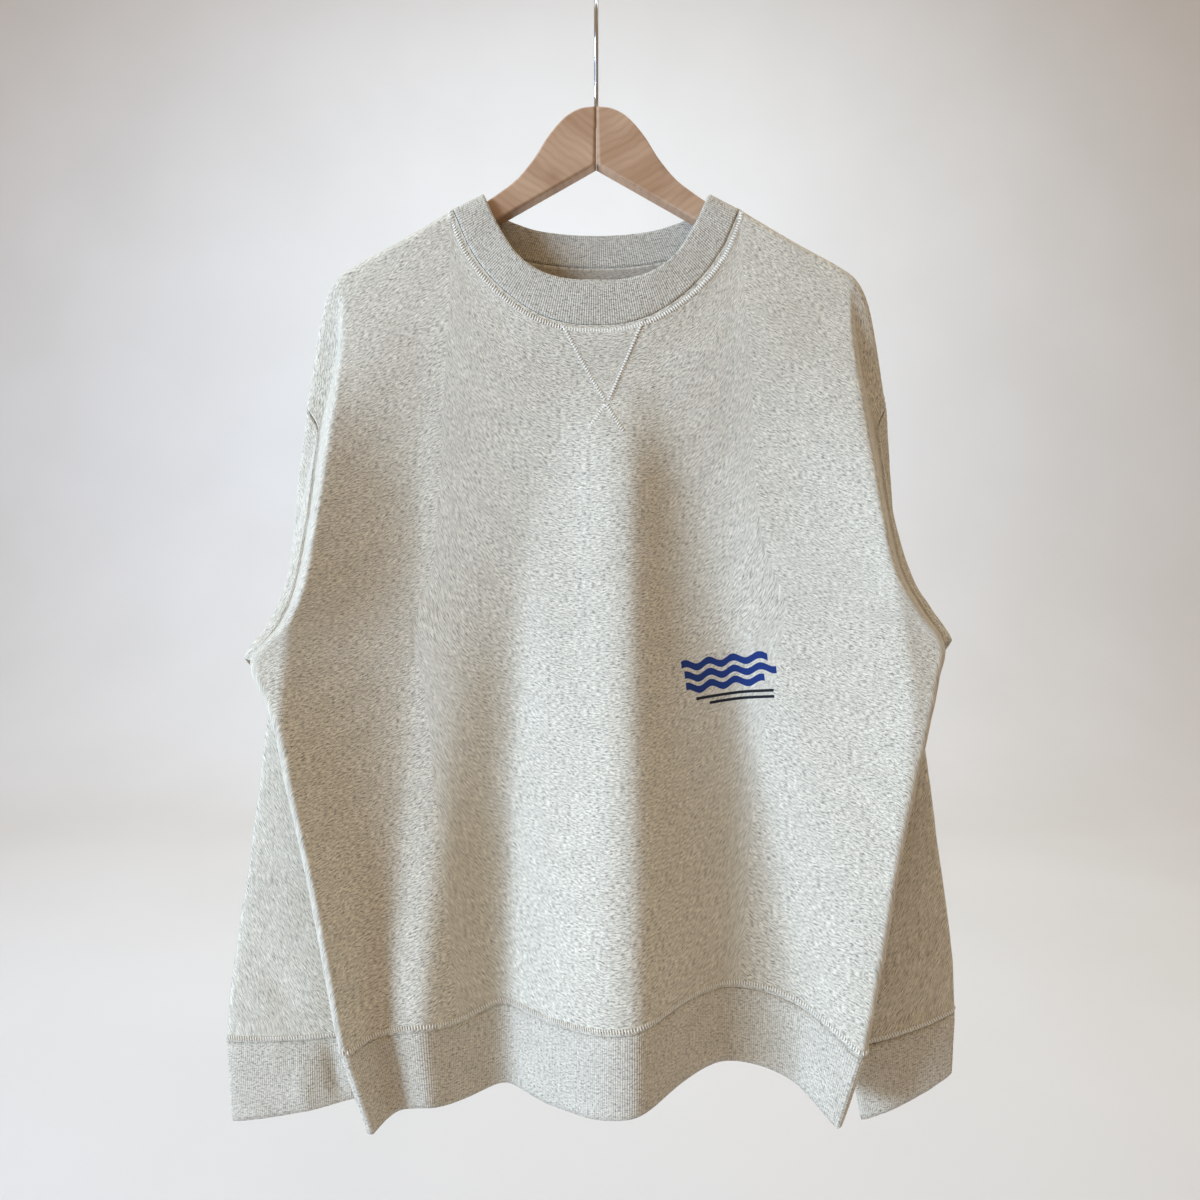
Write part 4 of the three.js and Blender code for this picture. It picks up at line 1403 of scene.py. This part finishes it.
@dataclass
class Ribbing:
    """Hem band and neck band in doubled rib, and the neck's V and tape."""

    body: Body
    finishes: Wardrobe
    wall: float = 2.4
    pitch: float = 1.85
    hem_height: float = 65
    neck_height: float = 34
    patch: float = 0.5
    patch_lift: float = 0.06
    v_top: tuple[float, float] = (-2.25, 3.0)
    v_tip: tuple[float, float] = (0.6, 0.8)
    v_down: tuple[float, float] = (0.003, 0.109)
    tape_columns: float = 4
    tape_down: tuple[float, float] = (0.003, 0.017)

    def relief(self, weave: Weave) -> np.ndarray:
        """Returns the slight unevenness under the ribs."""
        return uneven(weave, (0.35, 34, 21))

    def hem(self, u: np.ndarray, v: np.ndarray, front: bool) -> np.ndarray:
        """Returns the hem band's surface on one side of the body."""
        return self.body.band_point(front, u if front else 1 - u, 1 - v)

    def v_point(self, u: Values, v: Values) -> np.ndarray:
        """Lays out the V on the front panel, tip down.

        Args:
            u: 0 to 1 across it.
            v: 0 to 1 up it.

        Returns:
            The points.
        """
        down = 1 - v
        left, right = (mix(top, tip, down) for top, tip in zip(self.v_top, self.v_tip))
        column = mix(left, right, u) / self.body.columns(True)
        return self.body.point(True, 0.5 + column, mix(*self.v_down, down))

    def tape_point(self, u: Values, v: Values) -> np.ndarray:
        """Returns the tape's surface inside the back of the neck."""
        column = mix(self.tape_columns, -self.tape_columns, u) / self.body.columns(False)
        return self.body.point(False, 0.5 + column, mix(*self.tape_down, 1 - v))

    def lifted(self, surface: Surface, lift: float) -> Surface:
        """Returns a surface moved off itself by a lift."""
        return lambda u, v: surface(u, v) + lift * outward(surface, u, v)

    def build(self) -> dict[str, tuple[Cloth, bpy.types.Object]]:
        """Builds the bands, the V and the tape.

        Returns:
            Each cloth and its piece, by name.
        """
        made = {}
        front, back = (
            inset(even(lambda u, v, front=front: self.hem(u, v, front)), (width, self.hem_height))
            for front, width in ((True, self.body.front_size[0]), (False, self.body.back_size[0]))
        )
        neck = inset(even(self.body.neck_point), (CLOSED, self.neck_height), TUBE_GAP)
        for name, node, surface, rows, finish in (
            ("hem_rib_front", "hem_band_front", front, 14, self.finishes.rib),
            ("hem_rib_back", "hem_band_back", back, 12, self.finishes.rib),
            ("neck_rib", "neckband", neck, 12, self.finishes.neck_rib),
        ):
            cells = rib_cells(surface, self.pitch, rows)
            cloth = Cloth(name, node, surface, cells, self.wall, finish, Slot.RIB, self.relief, self.pitch)
            made[name] = (cloth, cloth.build())
        off = self.body.fleece / 2 + self.patch / 2 + self.patch_lift
        insert = self.lifted(self.v_point, off)
        tape = self.lifted(self.tape_point, -off)
        for name, node, surface, cells, finish, slot in (
            ("neck_v", "neck_v_insert", insert, (48, 40), self.finishes.fleece, Slot.FLEECE),
            ("neck_tape_strip", "neck_tape", tape, (120, 6), self.finishes.tape, Slot.TAPE),
        ):
            cloth = Cloth(name, node, surface, cells, self.patch, finish, slot)
            made[name] = (cloth, cloth.build())
        return made


@dataclass
class Sleeve:
    """One sleeve with its cuff."""

    body: Body
    finishes: Wardrobe
    side: Side
    cells: tuple[int, int] = (144, 120)
    wall: float = 1.8
    rib_wall: float = 2.4
    pitch: float = 1.8
    bluntness: float = 0.6
    level: float = 0.8
    cuff_y: float = 32
    cuff_room: float = 8
    fade: tuple[float, float, float, float] = (0.3, 0.16, 0.3, 0.12)
    cloth_size: tuple[float, float] = (300, 520)
    cuff_size: tuple[float, float] = (230, 65)
    behind_drop: float = 38
    behind_share: float = 0.6

    rows = {
        Side.LEFT: Table(
            "step top_x top_z top_y under_x under_z under_y room",
            (0.0, 249.5, -340, 12, 287, -561, -18, 1),
            (0.06, 254, -374, 13, 295, -560, -13, 2.4),
            (0.15, 261, -425, 15, 286, -578, 6, 5),
            (0.32, 275, -519, 20, 236, -622, 30, 8),
            (0.5, 293, -620, 28, 176, -682, 36, 8),
            (0.7, 309, -738, 31, 162, -762, 37, 8),
            (0.88, 325, -845, 32, 184, -848, 35, 9),
            (1.0, 330, -904, 32, 208, -897, 32, 8),
        ),
        Side.RIGHT: Table(
            "step top_x top_z top_y under_x under_z under_y room",
            (0.0, 249.5, -340, 12, 290, -546, -18, 1),
            (0.06, 252, -372, 13, 298, -545, -13, 2.4),
            (0.15, 257, -425, 15, 290, -566, 6, 5),
            (0.32, 270, -519, 20, 238, -622, 30, 8),
            (0.5, 289, -620, 28, 180, -682, 36, 8),
            (0.7, 306, -738, 31, 168, -762, 37, 8),
            (0.88, 318, -830, 32, 196, -856, 35, 9),
            (1.0, 320, -878, 32, 226, -910, 32, 8),
        ),
    }
    cuffs = {
        Side.LEFT: ((330, -904), (208, -897), (325, -975), (207, -952)),
        Side.RIGHT: ((320, -878), (226, -910), (317, -932), (238, -974)),
    }
    creases = {
        Side.LEFT: (
            Crease((-322, -886), (-214, -884), 4.0, 9),
            Crease((-300, -840), (-262, -868), 3.2, 12),
            Crease((-292, -740), (-215, -800), 2.4, 16),
            Crease((-300, -640), (-252, -690), 1.8, 14),
            Crease((-258, -430), (-268, -500), 1.2, 10),
            Crease((-238, -905), (-226, -950), 4.5, 9),
            Crease((-262, -925), (-256, -962), -3.5, 12),
        ),
        Side.RIGHT: (
            Crease((318, -862), (226, -890), 2.6, 9),
            Crease((296, -800), (226, -850), 2.2, 14),
            Crease((290, -690), (240, -750), 1.8, 15),
            Crease((256, -430), (266, -500), 1.2, 10),
            Crease((288, -900), (280, -950), 2.2, 9),
        ),
    }

    def section(
        self, turn: np.ndarray, top: np.ndarray, under: np.ndarray, room: Values
    ) -> np.ndarray:
        """Lays out points round the flattened tube.

        Args:
            turn: 0 to 1 once round, from the underarm over the front.
            top: points of its top edge.
            under: points of its underarm edge.
            room: half the tube's depth.

        Returns:
            The points.
        """
        down = self.from_top(turn)
        air = room * np.sin(np.pi * down) ** self.bluntness * np.where(turn < 0.5, -1, 1)
        spot = mix(top, under, down[..., None])
        spot[..., 1] += air
        return spot

    def from_top(self, turn: np.ndarray) -> np.ndarray:
        """Returns the distance round the tube from its top edge, 0 to 1."""
        return np.abs(turn - 0.5) * 2

    def ring(self, turn: np.ndarray, along: Values) -> np.ndarray:
        """Lays out the sleeve as it hangs, before it is joined to the armhole.

        Args:
            turn: 0 to 1 once round, from the underarm over the front.
            along: 0 to 1 from the armhole to the cuff's seam.

        Returns:
            The points.
        """
        row = self.rows[self.side].read(along)
        sign = self.side.value
        top = stack(sign * row.top_x, row.top_y, row.top_z)
        under = stack(sign * row.under_x, row.under_y, row.under_z)
        return self.section(turn, top, under, row.room)

    def point(self, turn: np.ndarray, along: Values) -> np.ndarray:
        """Lays out the sleeve, joined to the armhole.

        Args:
            turn: 0 to 1 once round, from the underarm over the front.
            along: 0 to 1 from the armhole to the cuff's seam.

        Returns:
            The points.
        """
        turn, along = np.broadcast_arrays(turn, along)
        share = self.from_top(turn)
        down = share * self.body.pit_share
        sign = np.full(turn.shape, self.side.value)
        ones = np.ones(turn.shape)
        is_front = (turn < 0.5)[..., None]
        seams = (self.body.turn(front, sign, ones, down) for front in (True, False))
        seam = np.where(is_front, *seams)
        top, under, front_depth, back_depth = self.fade
        kept = 1 - smooth(0, mix(top, under, share), along)
        depth = 1 - smooth(0, np.where(turn < 0.5, front_depth, back_depth), along)
        off = (seam - self.ring(turn, 0 * along)) * stack(kept, depth, kept)
        return self.ring(turn, along) + off

    def cuff(self, turn: np.ndarray, along: Values) -> np.ndarray:
        """Lays out the cuff.

        Args:
            turn: 0 to 1 once round, from the underarm over the front.
            along: 0 to 1 from its seam to its free edge.

        Returns:
            The points.
        """
        turn, along = np.broadcast_arrays(turn, along)
        sign = self.side.value
        corners = self.cuffs[self.side]
        top, under = (
            stack(sign * mix(a[0], b[0], along), self.cuff_y, mix(a[1], b[1], along))
            for a, b in ((corners[0], corners[2]), (corners[1], corners[3]))
        )
        return self.section(turn, top, under, self.cuff_room)

    def turned(self, u: np.ndarray) -> np.ndarray:
        """Returns the way round in which the cloth's face is outwards."""
        return 1 - u if self.side is Side.LEFT else u

    def cloth(self, u: np.ndarray, v: Values) -> np.ndarray:
        """Returns the sleeve's surface, up from the cuff's seam."""
        return self.point(self.turned(u), 1 - v)

    def press(self, weave: Weave) -> np.ndarray:
        """Works out the creases on both faces, those at the back shallower and lower down.

        Args:
            weave: the cloth as it is laid out.

        Returns:
            The height at each point.
        """
        x, z = weave.points[..., 0], weave.points[..., 2]
        facing = smooth(-0.2, 0.4, -weave.out[..., 1])
        depth = sum(c.press(x, z) for c in self.creases[self.side])
        behind = sum(c.press(x, z + self.behind_drop) for c in self.creases[self.side])
        return -depth * facing - self.behind_share * behind * (1 - facing)

    def sleeve_relief(self, weave: Weave) -> np.ndarray:
        """Returns the sleeve's small unevenness and creases."""
        return uneven(weave, (0.5, 60, 31), (0.15, 20, 32)) + self.press(weave)

    def cuff_relief(self, weave: Weave) -> np.ndarray:
        """Returns the cuff's small unevenness and creases."""
        return uneven(weave, (0.3, 30, 33)) + self.press(weave)

    def build(self) -> dict[str, tuple[Cloth, bpy.types.Object]]:
        """Builds the sleeve and its cuff.

        Returns:
            Each cloth and its piece, by name.
        """
        word = self.side.name.lower()
        sleeve = inset(self.cloth, self.cloth_size, TUBE_GAP)
        cuff = inset(even(lambda u, v: self.cuff(self.turned(u), 1 - v)), self.cuff_size)
        made = {}
        cloths = (
            Cloth(
                f"sleeve_cloth_{word}",
                f"sleeve_{word}",
                sleeve,
                self.cells,
                self.wall,
                self.finishes.fleece,
                Slot.FLEECE,
                self.sleeve_relief,
                level=self.level,
            ),
            Cloth(
                f"cuff_rib_{word}",
                f"cuff_{word}",
                cuff,
                rib_cells(cuff, self.pitch, 14),
                self.rib_wall,
                self.finishes.rib,
                Slot.RIB,
                self.cuff_relief,
                self.pitch,
            ),
        )
        for cloth in cloths:
            made[cloth.name] = (cloth, cloth.build())
        return made


# ---- seams ---------------------------------------------------------------


@dataclass
class Seams:
    """The stitching along every seam."""

    body: Body
    ribbing: Ribbing
    sleeves: tuple[Sleeve, Sleeve]
    thread: bpy.types.Material
    rib_lift: float = 0.7
    plain_stitch: tuple[float, float, float] = (0.95, 0.3, 0.25)
    neck_gap: float = 4.6
    neck_reach: float = 0.985
    hem_gap: float = 4.4
    cuff_row: float = 0.0085
    armhole_rows: tuple[float, float] = (0.994, 0.985)
    tails: tuple = (((0.66, 0.113), (1.75, 0.158)), ((0.62, 0.113), (-0.42, 0.146)))

    def line(self, start: tuple, end: tuple, count: int = 900) -> np.ndarray:
        """Returns a straight line between two places on a surface."""
        return np.linspace(start, end, count)

    def neck(self) -> bpy.types.Object:
        """Sews the neck band down with a band of cover stitch on the panels beside it.

        Returns:
            The stitching.
        """
        sewing = Stitching("stitches_neck", self.thread)
        for front in (True, False):
            edge = self.neck_reach * self.body.neck_columns[front] / self.body.columns(front)
            u = np.linspace(0.5 - edge, 0.5 + edge, 1200)
            v = 1 - self.offset_down(front, u, self.neck_gap)
            sewing.cover(self.body.panel(front), np.stack([u, v], axis=-1), self.body.fleece)
        return sewing.finish(Slot.RIB)

    def offset_down(self, front: bool, across: np.ndarray, gap: float) -> np.ndarray:
        """Finds the line that lies a gap below a panel's top edge.

        Args:
            front: whether it is the front panel.
            across: 0 to 1 from the left seam to the right one.
            gap: the gap, square to the edge.

        Returns:
            The line's share of the panel's height at each place.
        """
        step = 0.02
        top = self.body.point(front, across, np.zeros_like(across))
        low = self.body.point(front, across, np.full_like(across, step))
        fall = np.linalg.norm(low - top, axis=-1)
        slope = np.gradient(top[:, 2]) / np.maximum(np.abs(np.gradient(top[:, 0])), 1e-6)
        return gap * np.sqrt(1 + slope**2) / fall * step

    def hem(self) -> bpy.types.Object:
        """Sews the hem band on, with cover stitch on the panels above it.

        Returns:
            The stitching.
        """
        sewing = Stitching("stitches_hem", self.thread, lift=self.rib_lift)
        v = self.hem_gap / self.body.front_size[1]
        for surface in (self.body.front, self.body.back):
            sewing.cover(surface, self.line((0.004, v), (0.996, v), 1400), self.body.fleece)
        return sewing.finish(Slot.RIB)

    def cuffs(self) -> bpy.types.Object:
        """Sews the cuffs on, with cover stitch on the sleeves above them.

        Returns:
            The stitching.
        """
        sewing = Stitching("stitches_cuffs", self.thread, lift=self.rib_lift)
        for sleeve in self.sleeves:
            row = self.line((0.005, self.cuff_row), (0.995, self.cuff_row))
            sewing.cover(sleeve.cloth, row, sleeve.wall)
        return sewing.finish(Slot.RIB)

    def armholes(self) -> bpy.types.Object:
        """Sews the sleeves in with two rows of stitches on the sleeve beside the seam.

        Returns:
            The stitching.
        """
        sewing = Stitching("stitches_armholes", self.thread, pitch=2.5)
        for sleeve in self.sleeves:
            for v in self.armhole_rows:
                row = self.line((0.01, v), (0.99, v))
                sewing.row(sleeve.cloth, row, self.plain_stitch, sleeve.wall)
        return sewing.finish(Slot.FLEECE)

    def v_insert(self) -> bpy.types.Object:
        """Sews the V down along both legs, whose tails cross on the panel below its tip.

        Returns:
            The stitching.
        """
        sewing = Stitching("stitches_v", self.thread, lift=0.3)
        lift = self.ribbing.patch + self.ribbing.patch_lift
        surface = self.ribbing.lifted(self.ribbing.v_point, lift)
        for start, end in (((0.02, 0.98), (0.02, 0.02)), ((0.98, 0.98), (0.98, 0.02))):
            sewing.cover(surface, self.line(start, end), self.body.fleece, wide=2.0)
        columns = self.body.columns(True)
        for start, end in self.tails:
            ends = [(0.5 + column / columns, 1 - down) for column, down in (start, end)]
            sewing.cover(self.body.panel(True), self.line(*ends), self.body.fleece, wide=2.0)
        return sewing.finish(Slot.FLEECE)


# ---- the hanger ----------------------------------------------------------


@dataclass
class Hanger:
    """Two wooden arms glued at the middle, and the wire hook in their crown."""

    finishes: Wardrobe
    thick: float = 14.4
    edge: float = 2.2
    butt: float = 0.3
    wire: float = 3.6
    hook_radius: float = 20
    cells: int = 72
    upper: tuple = (
        (0, -89.5), (14, -91.5), (27, -99), (41, -115), (53, -134), (67, -151), (80, -161.5),
        (97, -173), (120, -185.7), (160, -207.6), (214, -237),
    )
    lower: tuple = ((0, -138.7), (86, -187.5), (214, -254))
    stem: tuple = ((0, -104), (0, -92), (0, -80), (-5, -68), (-14, -55), (-20.5, -40))

    def stations(self) -> tuple[np.ndarray, np.ndarray, np.ndarray]:
        """Lists stations along the right arm.

        Returns:
            Their X, and the Z of the arm's upper and lower edge there.
        """
        upper, lower = Table("x z", *self.upper), Table("x z", *self.lower)
        x = np.linspace(self.butt / 2, self.upper[-1][0], self.cells)
        return x, upper.read(x).z, np.interp(x, lower.values[:, 0], lower.values[:, 1])

    def arm(self, side: Side) -> bpy.types.Object:
        """Cuts one arm and rounds its edges.

        Args:
            side: which arm.

        Returns:
            The arm.
        """
        x, top, low = self.stations()
        shape = bmesh.new()
        bmesh.ops.create_grid(shape, x_segments=self.cells - 1, y_segments=1, size=0.5)
        for vert in shape.verts:
            column = round((vert.co.x + 0.5) * (self.cells - 1))
            height = (low if vert.co.y < 0 else top)[column]
            vert.co = Vector((side.value * x[column], -self.thick / 2, height)) * MM
        grown = bmesh.ops.extrude_face_region(shape, geom=shape.faces[:], use_keep_orig=True)
        moved = [g for g in grown["geom"] if isinstance(g, bmesh.types.BMVert)]
        bmesh.ops.translate(shape, verts=moved, vec=(0, self.thick * MM, 0))
        bmesh.ops.recalc_face_normals(shape, faces=shape.faces)
        butt = self.butt * MM
        rims = [
            edge
            for edge in shape.edges
            if edge.calc_face_angle() > 1 and any(abs(v.co.x) > butt for v in edge.verts)
        ]
        bmesh.ops.bevel(
            shape,
            geom=rims,
            offset=self.edge * MM,
            offset_type="OFFSET",
            segments=4,
            profile=0.5,
            affect="EDGES",
            material=-1,
        )
        arm = make_piece(shape, f"arm_wood_{side.name.lower()}", self.finishes.wood[side])
        flats = arm.modifiers.new("flat faces", "WEIGHTED_NORMAL")
        flats.keep_sharp = True
        return arm

    def path(self) -> np.ndarray:
        """Draws the wire's centre line, up from the crown, forward, over the top and down.

        Returns:
            Its points.
        """
        radius = self.hook_radius + self.wire / 2
        rise = [(y, z) for y, z in self.stem]
        angles = np.pi * (1 - np.arange(25) / 24)
        top = [(radius * np.cos(a), radius * np.sin(a) - self.hook_radius) for a in angles]
        tail = [(radius, -self.hook_radius - 9), (radius - 0.5, -self.hook_radius - 17)]
        points = np.array([*rise, *top, *tail])
        run = np.concatenate([[0], np.cumsum(np.hypot(*np.diff(points, axis=0).T))])
        table = Table("run y z", *(tuple((r, *p)) for r, p in zip(run, points)))
        row = table.read(np.linspace(0, run[-1], 120))
        return stack(0, row.y, row.z)

    def hook(self) -> bpy.types.Object:
        """Bends the wire along its path and rounds its free end.

        Returns:
            The hook.
        """
        path = self.path()
        shape = bmesh.new()
        ways = np.gradient(path, axis=0)
        ring = None
        radii = np.full(len(path), self.wire / 2)
        radii[-4:] *= (0.96, 0.86, 0.62, 0.3)
        for place, way, radius in zip(path, ways, radii):
            way = Vector(way).normalized()
            beside = Vector((1, 0, 0))
            turn = Matrix((beside, way.cross(beside), way)).transposed().to_4x4()
            matrix = Matrix.Diagonal((MM, MM, MM, 1)) @ Matrix.Translation(Vector(place)) @ turn
            made = bmesh.ops.create_circle(shape, segments=20, radius=radius, matrix=matrix)
            edges = list({e for v in made["verts"] for e in v.link_edges})
            if ring is not None:
                bmesh.ops.bridge_loops(shape, edges=[*ring, *edges])
            ring = edges
        bmesh.ops.holes_fill(shape, edges=shape.edges, sides=20)
        bmesh.ops.recalc_face_normals(shape, faces=shape.faces)
        return make_piece(shape, "hook_wire_bent", self.finishes.chrome)

    def build(self) -> list[bpy.types.Object]:
        """Builds the hanger.

        Returns:
            Its pieces.
        """
        arms = [self.arm(side) for side in Side]
        for side, arm in zip(Side, arms):
            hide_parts(f"hanger_arm_{side.name.lower()}")
        hook = self.hook()
        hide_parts("hanger_hook")
        return [*arms, hook]


# ---- the studio ----------------------------------------------------------


@dataclass
class Studio:
    """A pale floor, soft lights and the camera."""

    floor_z: float = -1.45
    floor_width: float = 16
    near_y: float = -6
    wall_y: float = 4.6
    wall_height: float = 3.5
    sweep_radius: float = 1.8
    sweep_cells: int = 120
    eye: tuple = (3.2, -714, -509.5)
    lens: float = 24.99
    sensor: float = 36

    def floor(self) -> None:
        """Lays a plain pale floor that sweeps up into a wall far behind the garment."""
        shape = bmesh.new()
        bmesh.ops.create_grid(shape, x_segments=1, y_segments=self.sweep_cells, size=0.5)
        bend = self.sweep_radius * np.pi / 2
        reach = self.wall_y - self.sweep_radius - self.near_y
        for vert in shape.verts:
            run = (vert.co.y + 0.5) * (reach + bend + self.wall_height)
            angle = np.clip((run - reach) / self.sweep_radius, 0, np.pi / 2)
            y = self.near_y + min(run, reach) + self.sweep_radius * np.sin(angle)
            z = self.floor_z + self.sweep_radius * (1 - np.cos(angle)) + max(run - reach - bend, 0)
            vert.co = (vert.co.x * self.floor_width, y, z)
        for face in shape.faces:
            face.smooth = True
        mesh = bpy.data.meshes.new("studio_floor")
        shape.to_mesh(mesh)
        shape.free()
        shader = Shader("studio_floor_paint")
        place = shader.add("TexCoord").outputs["Object"]
        cloudy = shader.noise(place, 1.5, 3, 0.5)
        colour = shader.ramp(cloudy, (0.3, paint(228, 227, 225)), (0.7, paint(232, 231, 230)))
        mesh.materials.append(shader.close({"Base Color": colour, "Roughness": 0.9}))
        floor = bpy.data.objects.new("studio_floor", mesh)
        bpy.context.scene.collection.objects.link(floor)

    def light(
        self,
        name: str,
        place: tuple,
        target: tuple,
        size: float,
        power: float,
        colour: tuple,
        spread: float = np.pi,
    ) -> None:
        """Hangs one square soft light.

        Args:
            name: its name.
            place: where it hangs, in metres.
            target: the point that it is turned to.
            size: the length of its sides.
            power: its power, in watts.
            colour: its colour, linear.
            spread: the angle that it lights, in radians.
        """
        data = bpy.data.lights.new(name, "AREA")
        data.shape = "SQUARE"
        data.size = size
        data.energy = power
        data.color = colour
        data.spread = spread
        lamp = bpy.data.objects.new(name, data)
        lamp.location = place
        lamp.rotation_euler = (Vector(target) - Vector(place)).to_track_quat("-Z", "Y").to_euler()
        lamp.visible_camera = False
        bpy.context.scene.collection.objects.link(lamp)

    def world(self) -> None:
        """Fills the room with warm, even light and shows a pale backdrop behind the garment."""
        world = bpy.data.worlds.new("studio_room")
        bpy.context.scene.world = world
        world.use_nodes = True
        tree = world.node_tree
        tree.nodes.clear()
        warm = tree.nodes.new("ShaderNodeBackground")
        warm.inputs["Color"].default_value = (1.0, 0.725, 0.45, 1)
        warm.inputs["Strength"].default_value = 0.4
        pale = tree.nodes.new("ShaderNodeBackground")
        pale.inputs["Color"].default_value = (0.80, 0.80, 0.79, 1)
        pale.inputs["Strength"].default_value = 0.9
        seen = tree.nodes.new("ShaderNodeLightPath")
        choice = tree.nodes.new("ShaderNodeMixShader")
        out = tree.nodes.new("ShaderNodeOutputWorld")
        tree.links.new(seen.outputs["Is Camera Ray"], choice.inputs[0])
        tree.links.new(warm.outputs[0], choice.inputs[1])
        tree.links.new(pale.outputs[0], choice.inputs[2])
        tree.links.new(choice.outputs[0], out.inputs["Surface"])

    def camera(self) -> None:
        """Sets the camera level, opposite the middle of the garment."""
        data = bpy.data.cameras.new("front_camera")
        data.sensor_width = self.sensor
        data.lens = self.lens
        data.clip_start = 0.05
        camera = bpy.data.objects.new("front_camera", data)
        camera.location = tuple(c * MM for c in self.eye)
        camera.rotation_euler = (np.pi / 2, 0, 0)
        bpy.context.scene.collection.objects.link(camera)
        bpy.context.scene.camera = camera

    def build(self) -> None:
        """Sets up the whole studio."""
        self.camera()
        self.floor()
        self.world()
        aim = (0, 0, -0.55)
        self.light("window_light", (-3.9, -2.35, -0.1), aim, 1.5, 275, (0.51, 0.71, 1.0))
        self.light("backdrop_light", (0, 0.9, 2.6), (0, 4.4, -1.0), 4, 95, (0.85, 0.95, 1.0), 2.6)
        bpy.context.scene.view_settings.view_transform = "Standard"


# ---- assembly ------------------------------------------------------------


def declare_sheets(cloths: dict[str, tuple[Cloth, bpy.types.Object]], sewn: dict) -> None:
    """Works out the cut size of every piece of cloth.

    Args:
        cloths: each cloth and its piece, by name.
        sewn: the stitching that goes with a cloth, by the cloth's name.
    """
    arms = ["arm_wood_left", "arm_wood_right"]
    rests = {
        "panel_front": arms,
        "panel_back": arms,
        "hem_rib_front": ["panel_front"],
        "hem_rib_back": ["panel_back"],
        "neck_rib": ["panel_front", "panel_back"],
        "neck_v": ["panel_front"],
        "neck_tape_strip": ["panel_back"],
        "sleeve_cloth_left": ["panel_front", "panel_back"],
        "sleeve_cloth_right": ["panel_front", "panel_back"],
        "cuff_rib_left": ["sleeve_cloth_left"],
        "cuff_rib_right": ["sleeve_cloth_right"],
    }
    for name, (cloth, piece) in cloths.items():
        cloth.declare(piece, rests[name], sewn.get(name))


def main() -> None:
    """Builds the studio, the garment and its hanger in order."""
    logging.basicConfig(level=logging.INFO, format="%(message)s")
    Studio().build()
    finishes = Wardrobe()
    body = Body()
    ribbing = Ribbing(body, finishes)
    sleeves = tuple(Sleeve(body, finishes, side) for side in Side)
    cloths = {**Panels(body, finishes).build(), **ribbing.build()}
    for sleeve in sleeves:
        cloths.update(sleeve.build())
    seams = Seams(body, ribbing, sleeves, finishes.thread)
    sewn = {
        "neck_rib": [seams.neck()],
        "panel_front": [seams.hem(), seams.armholes()],
        "cuff_rib_left": [seams.cuffs()],
        "neck_v": [seams.v_insert()],
    }
    Hanger(finishes).build()
    declare_sheets(cloths, sewn)


if __name__ == "__main__":
    main()
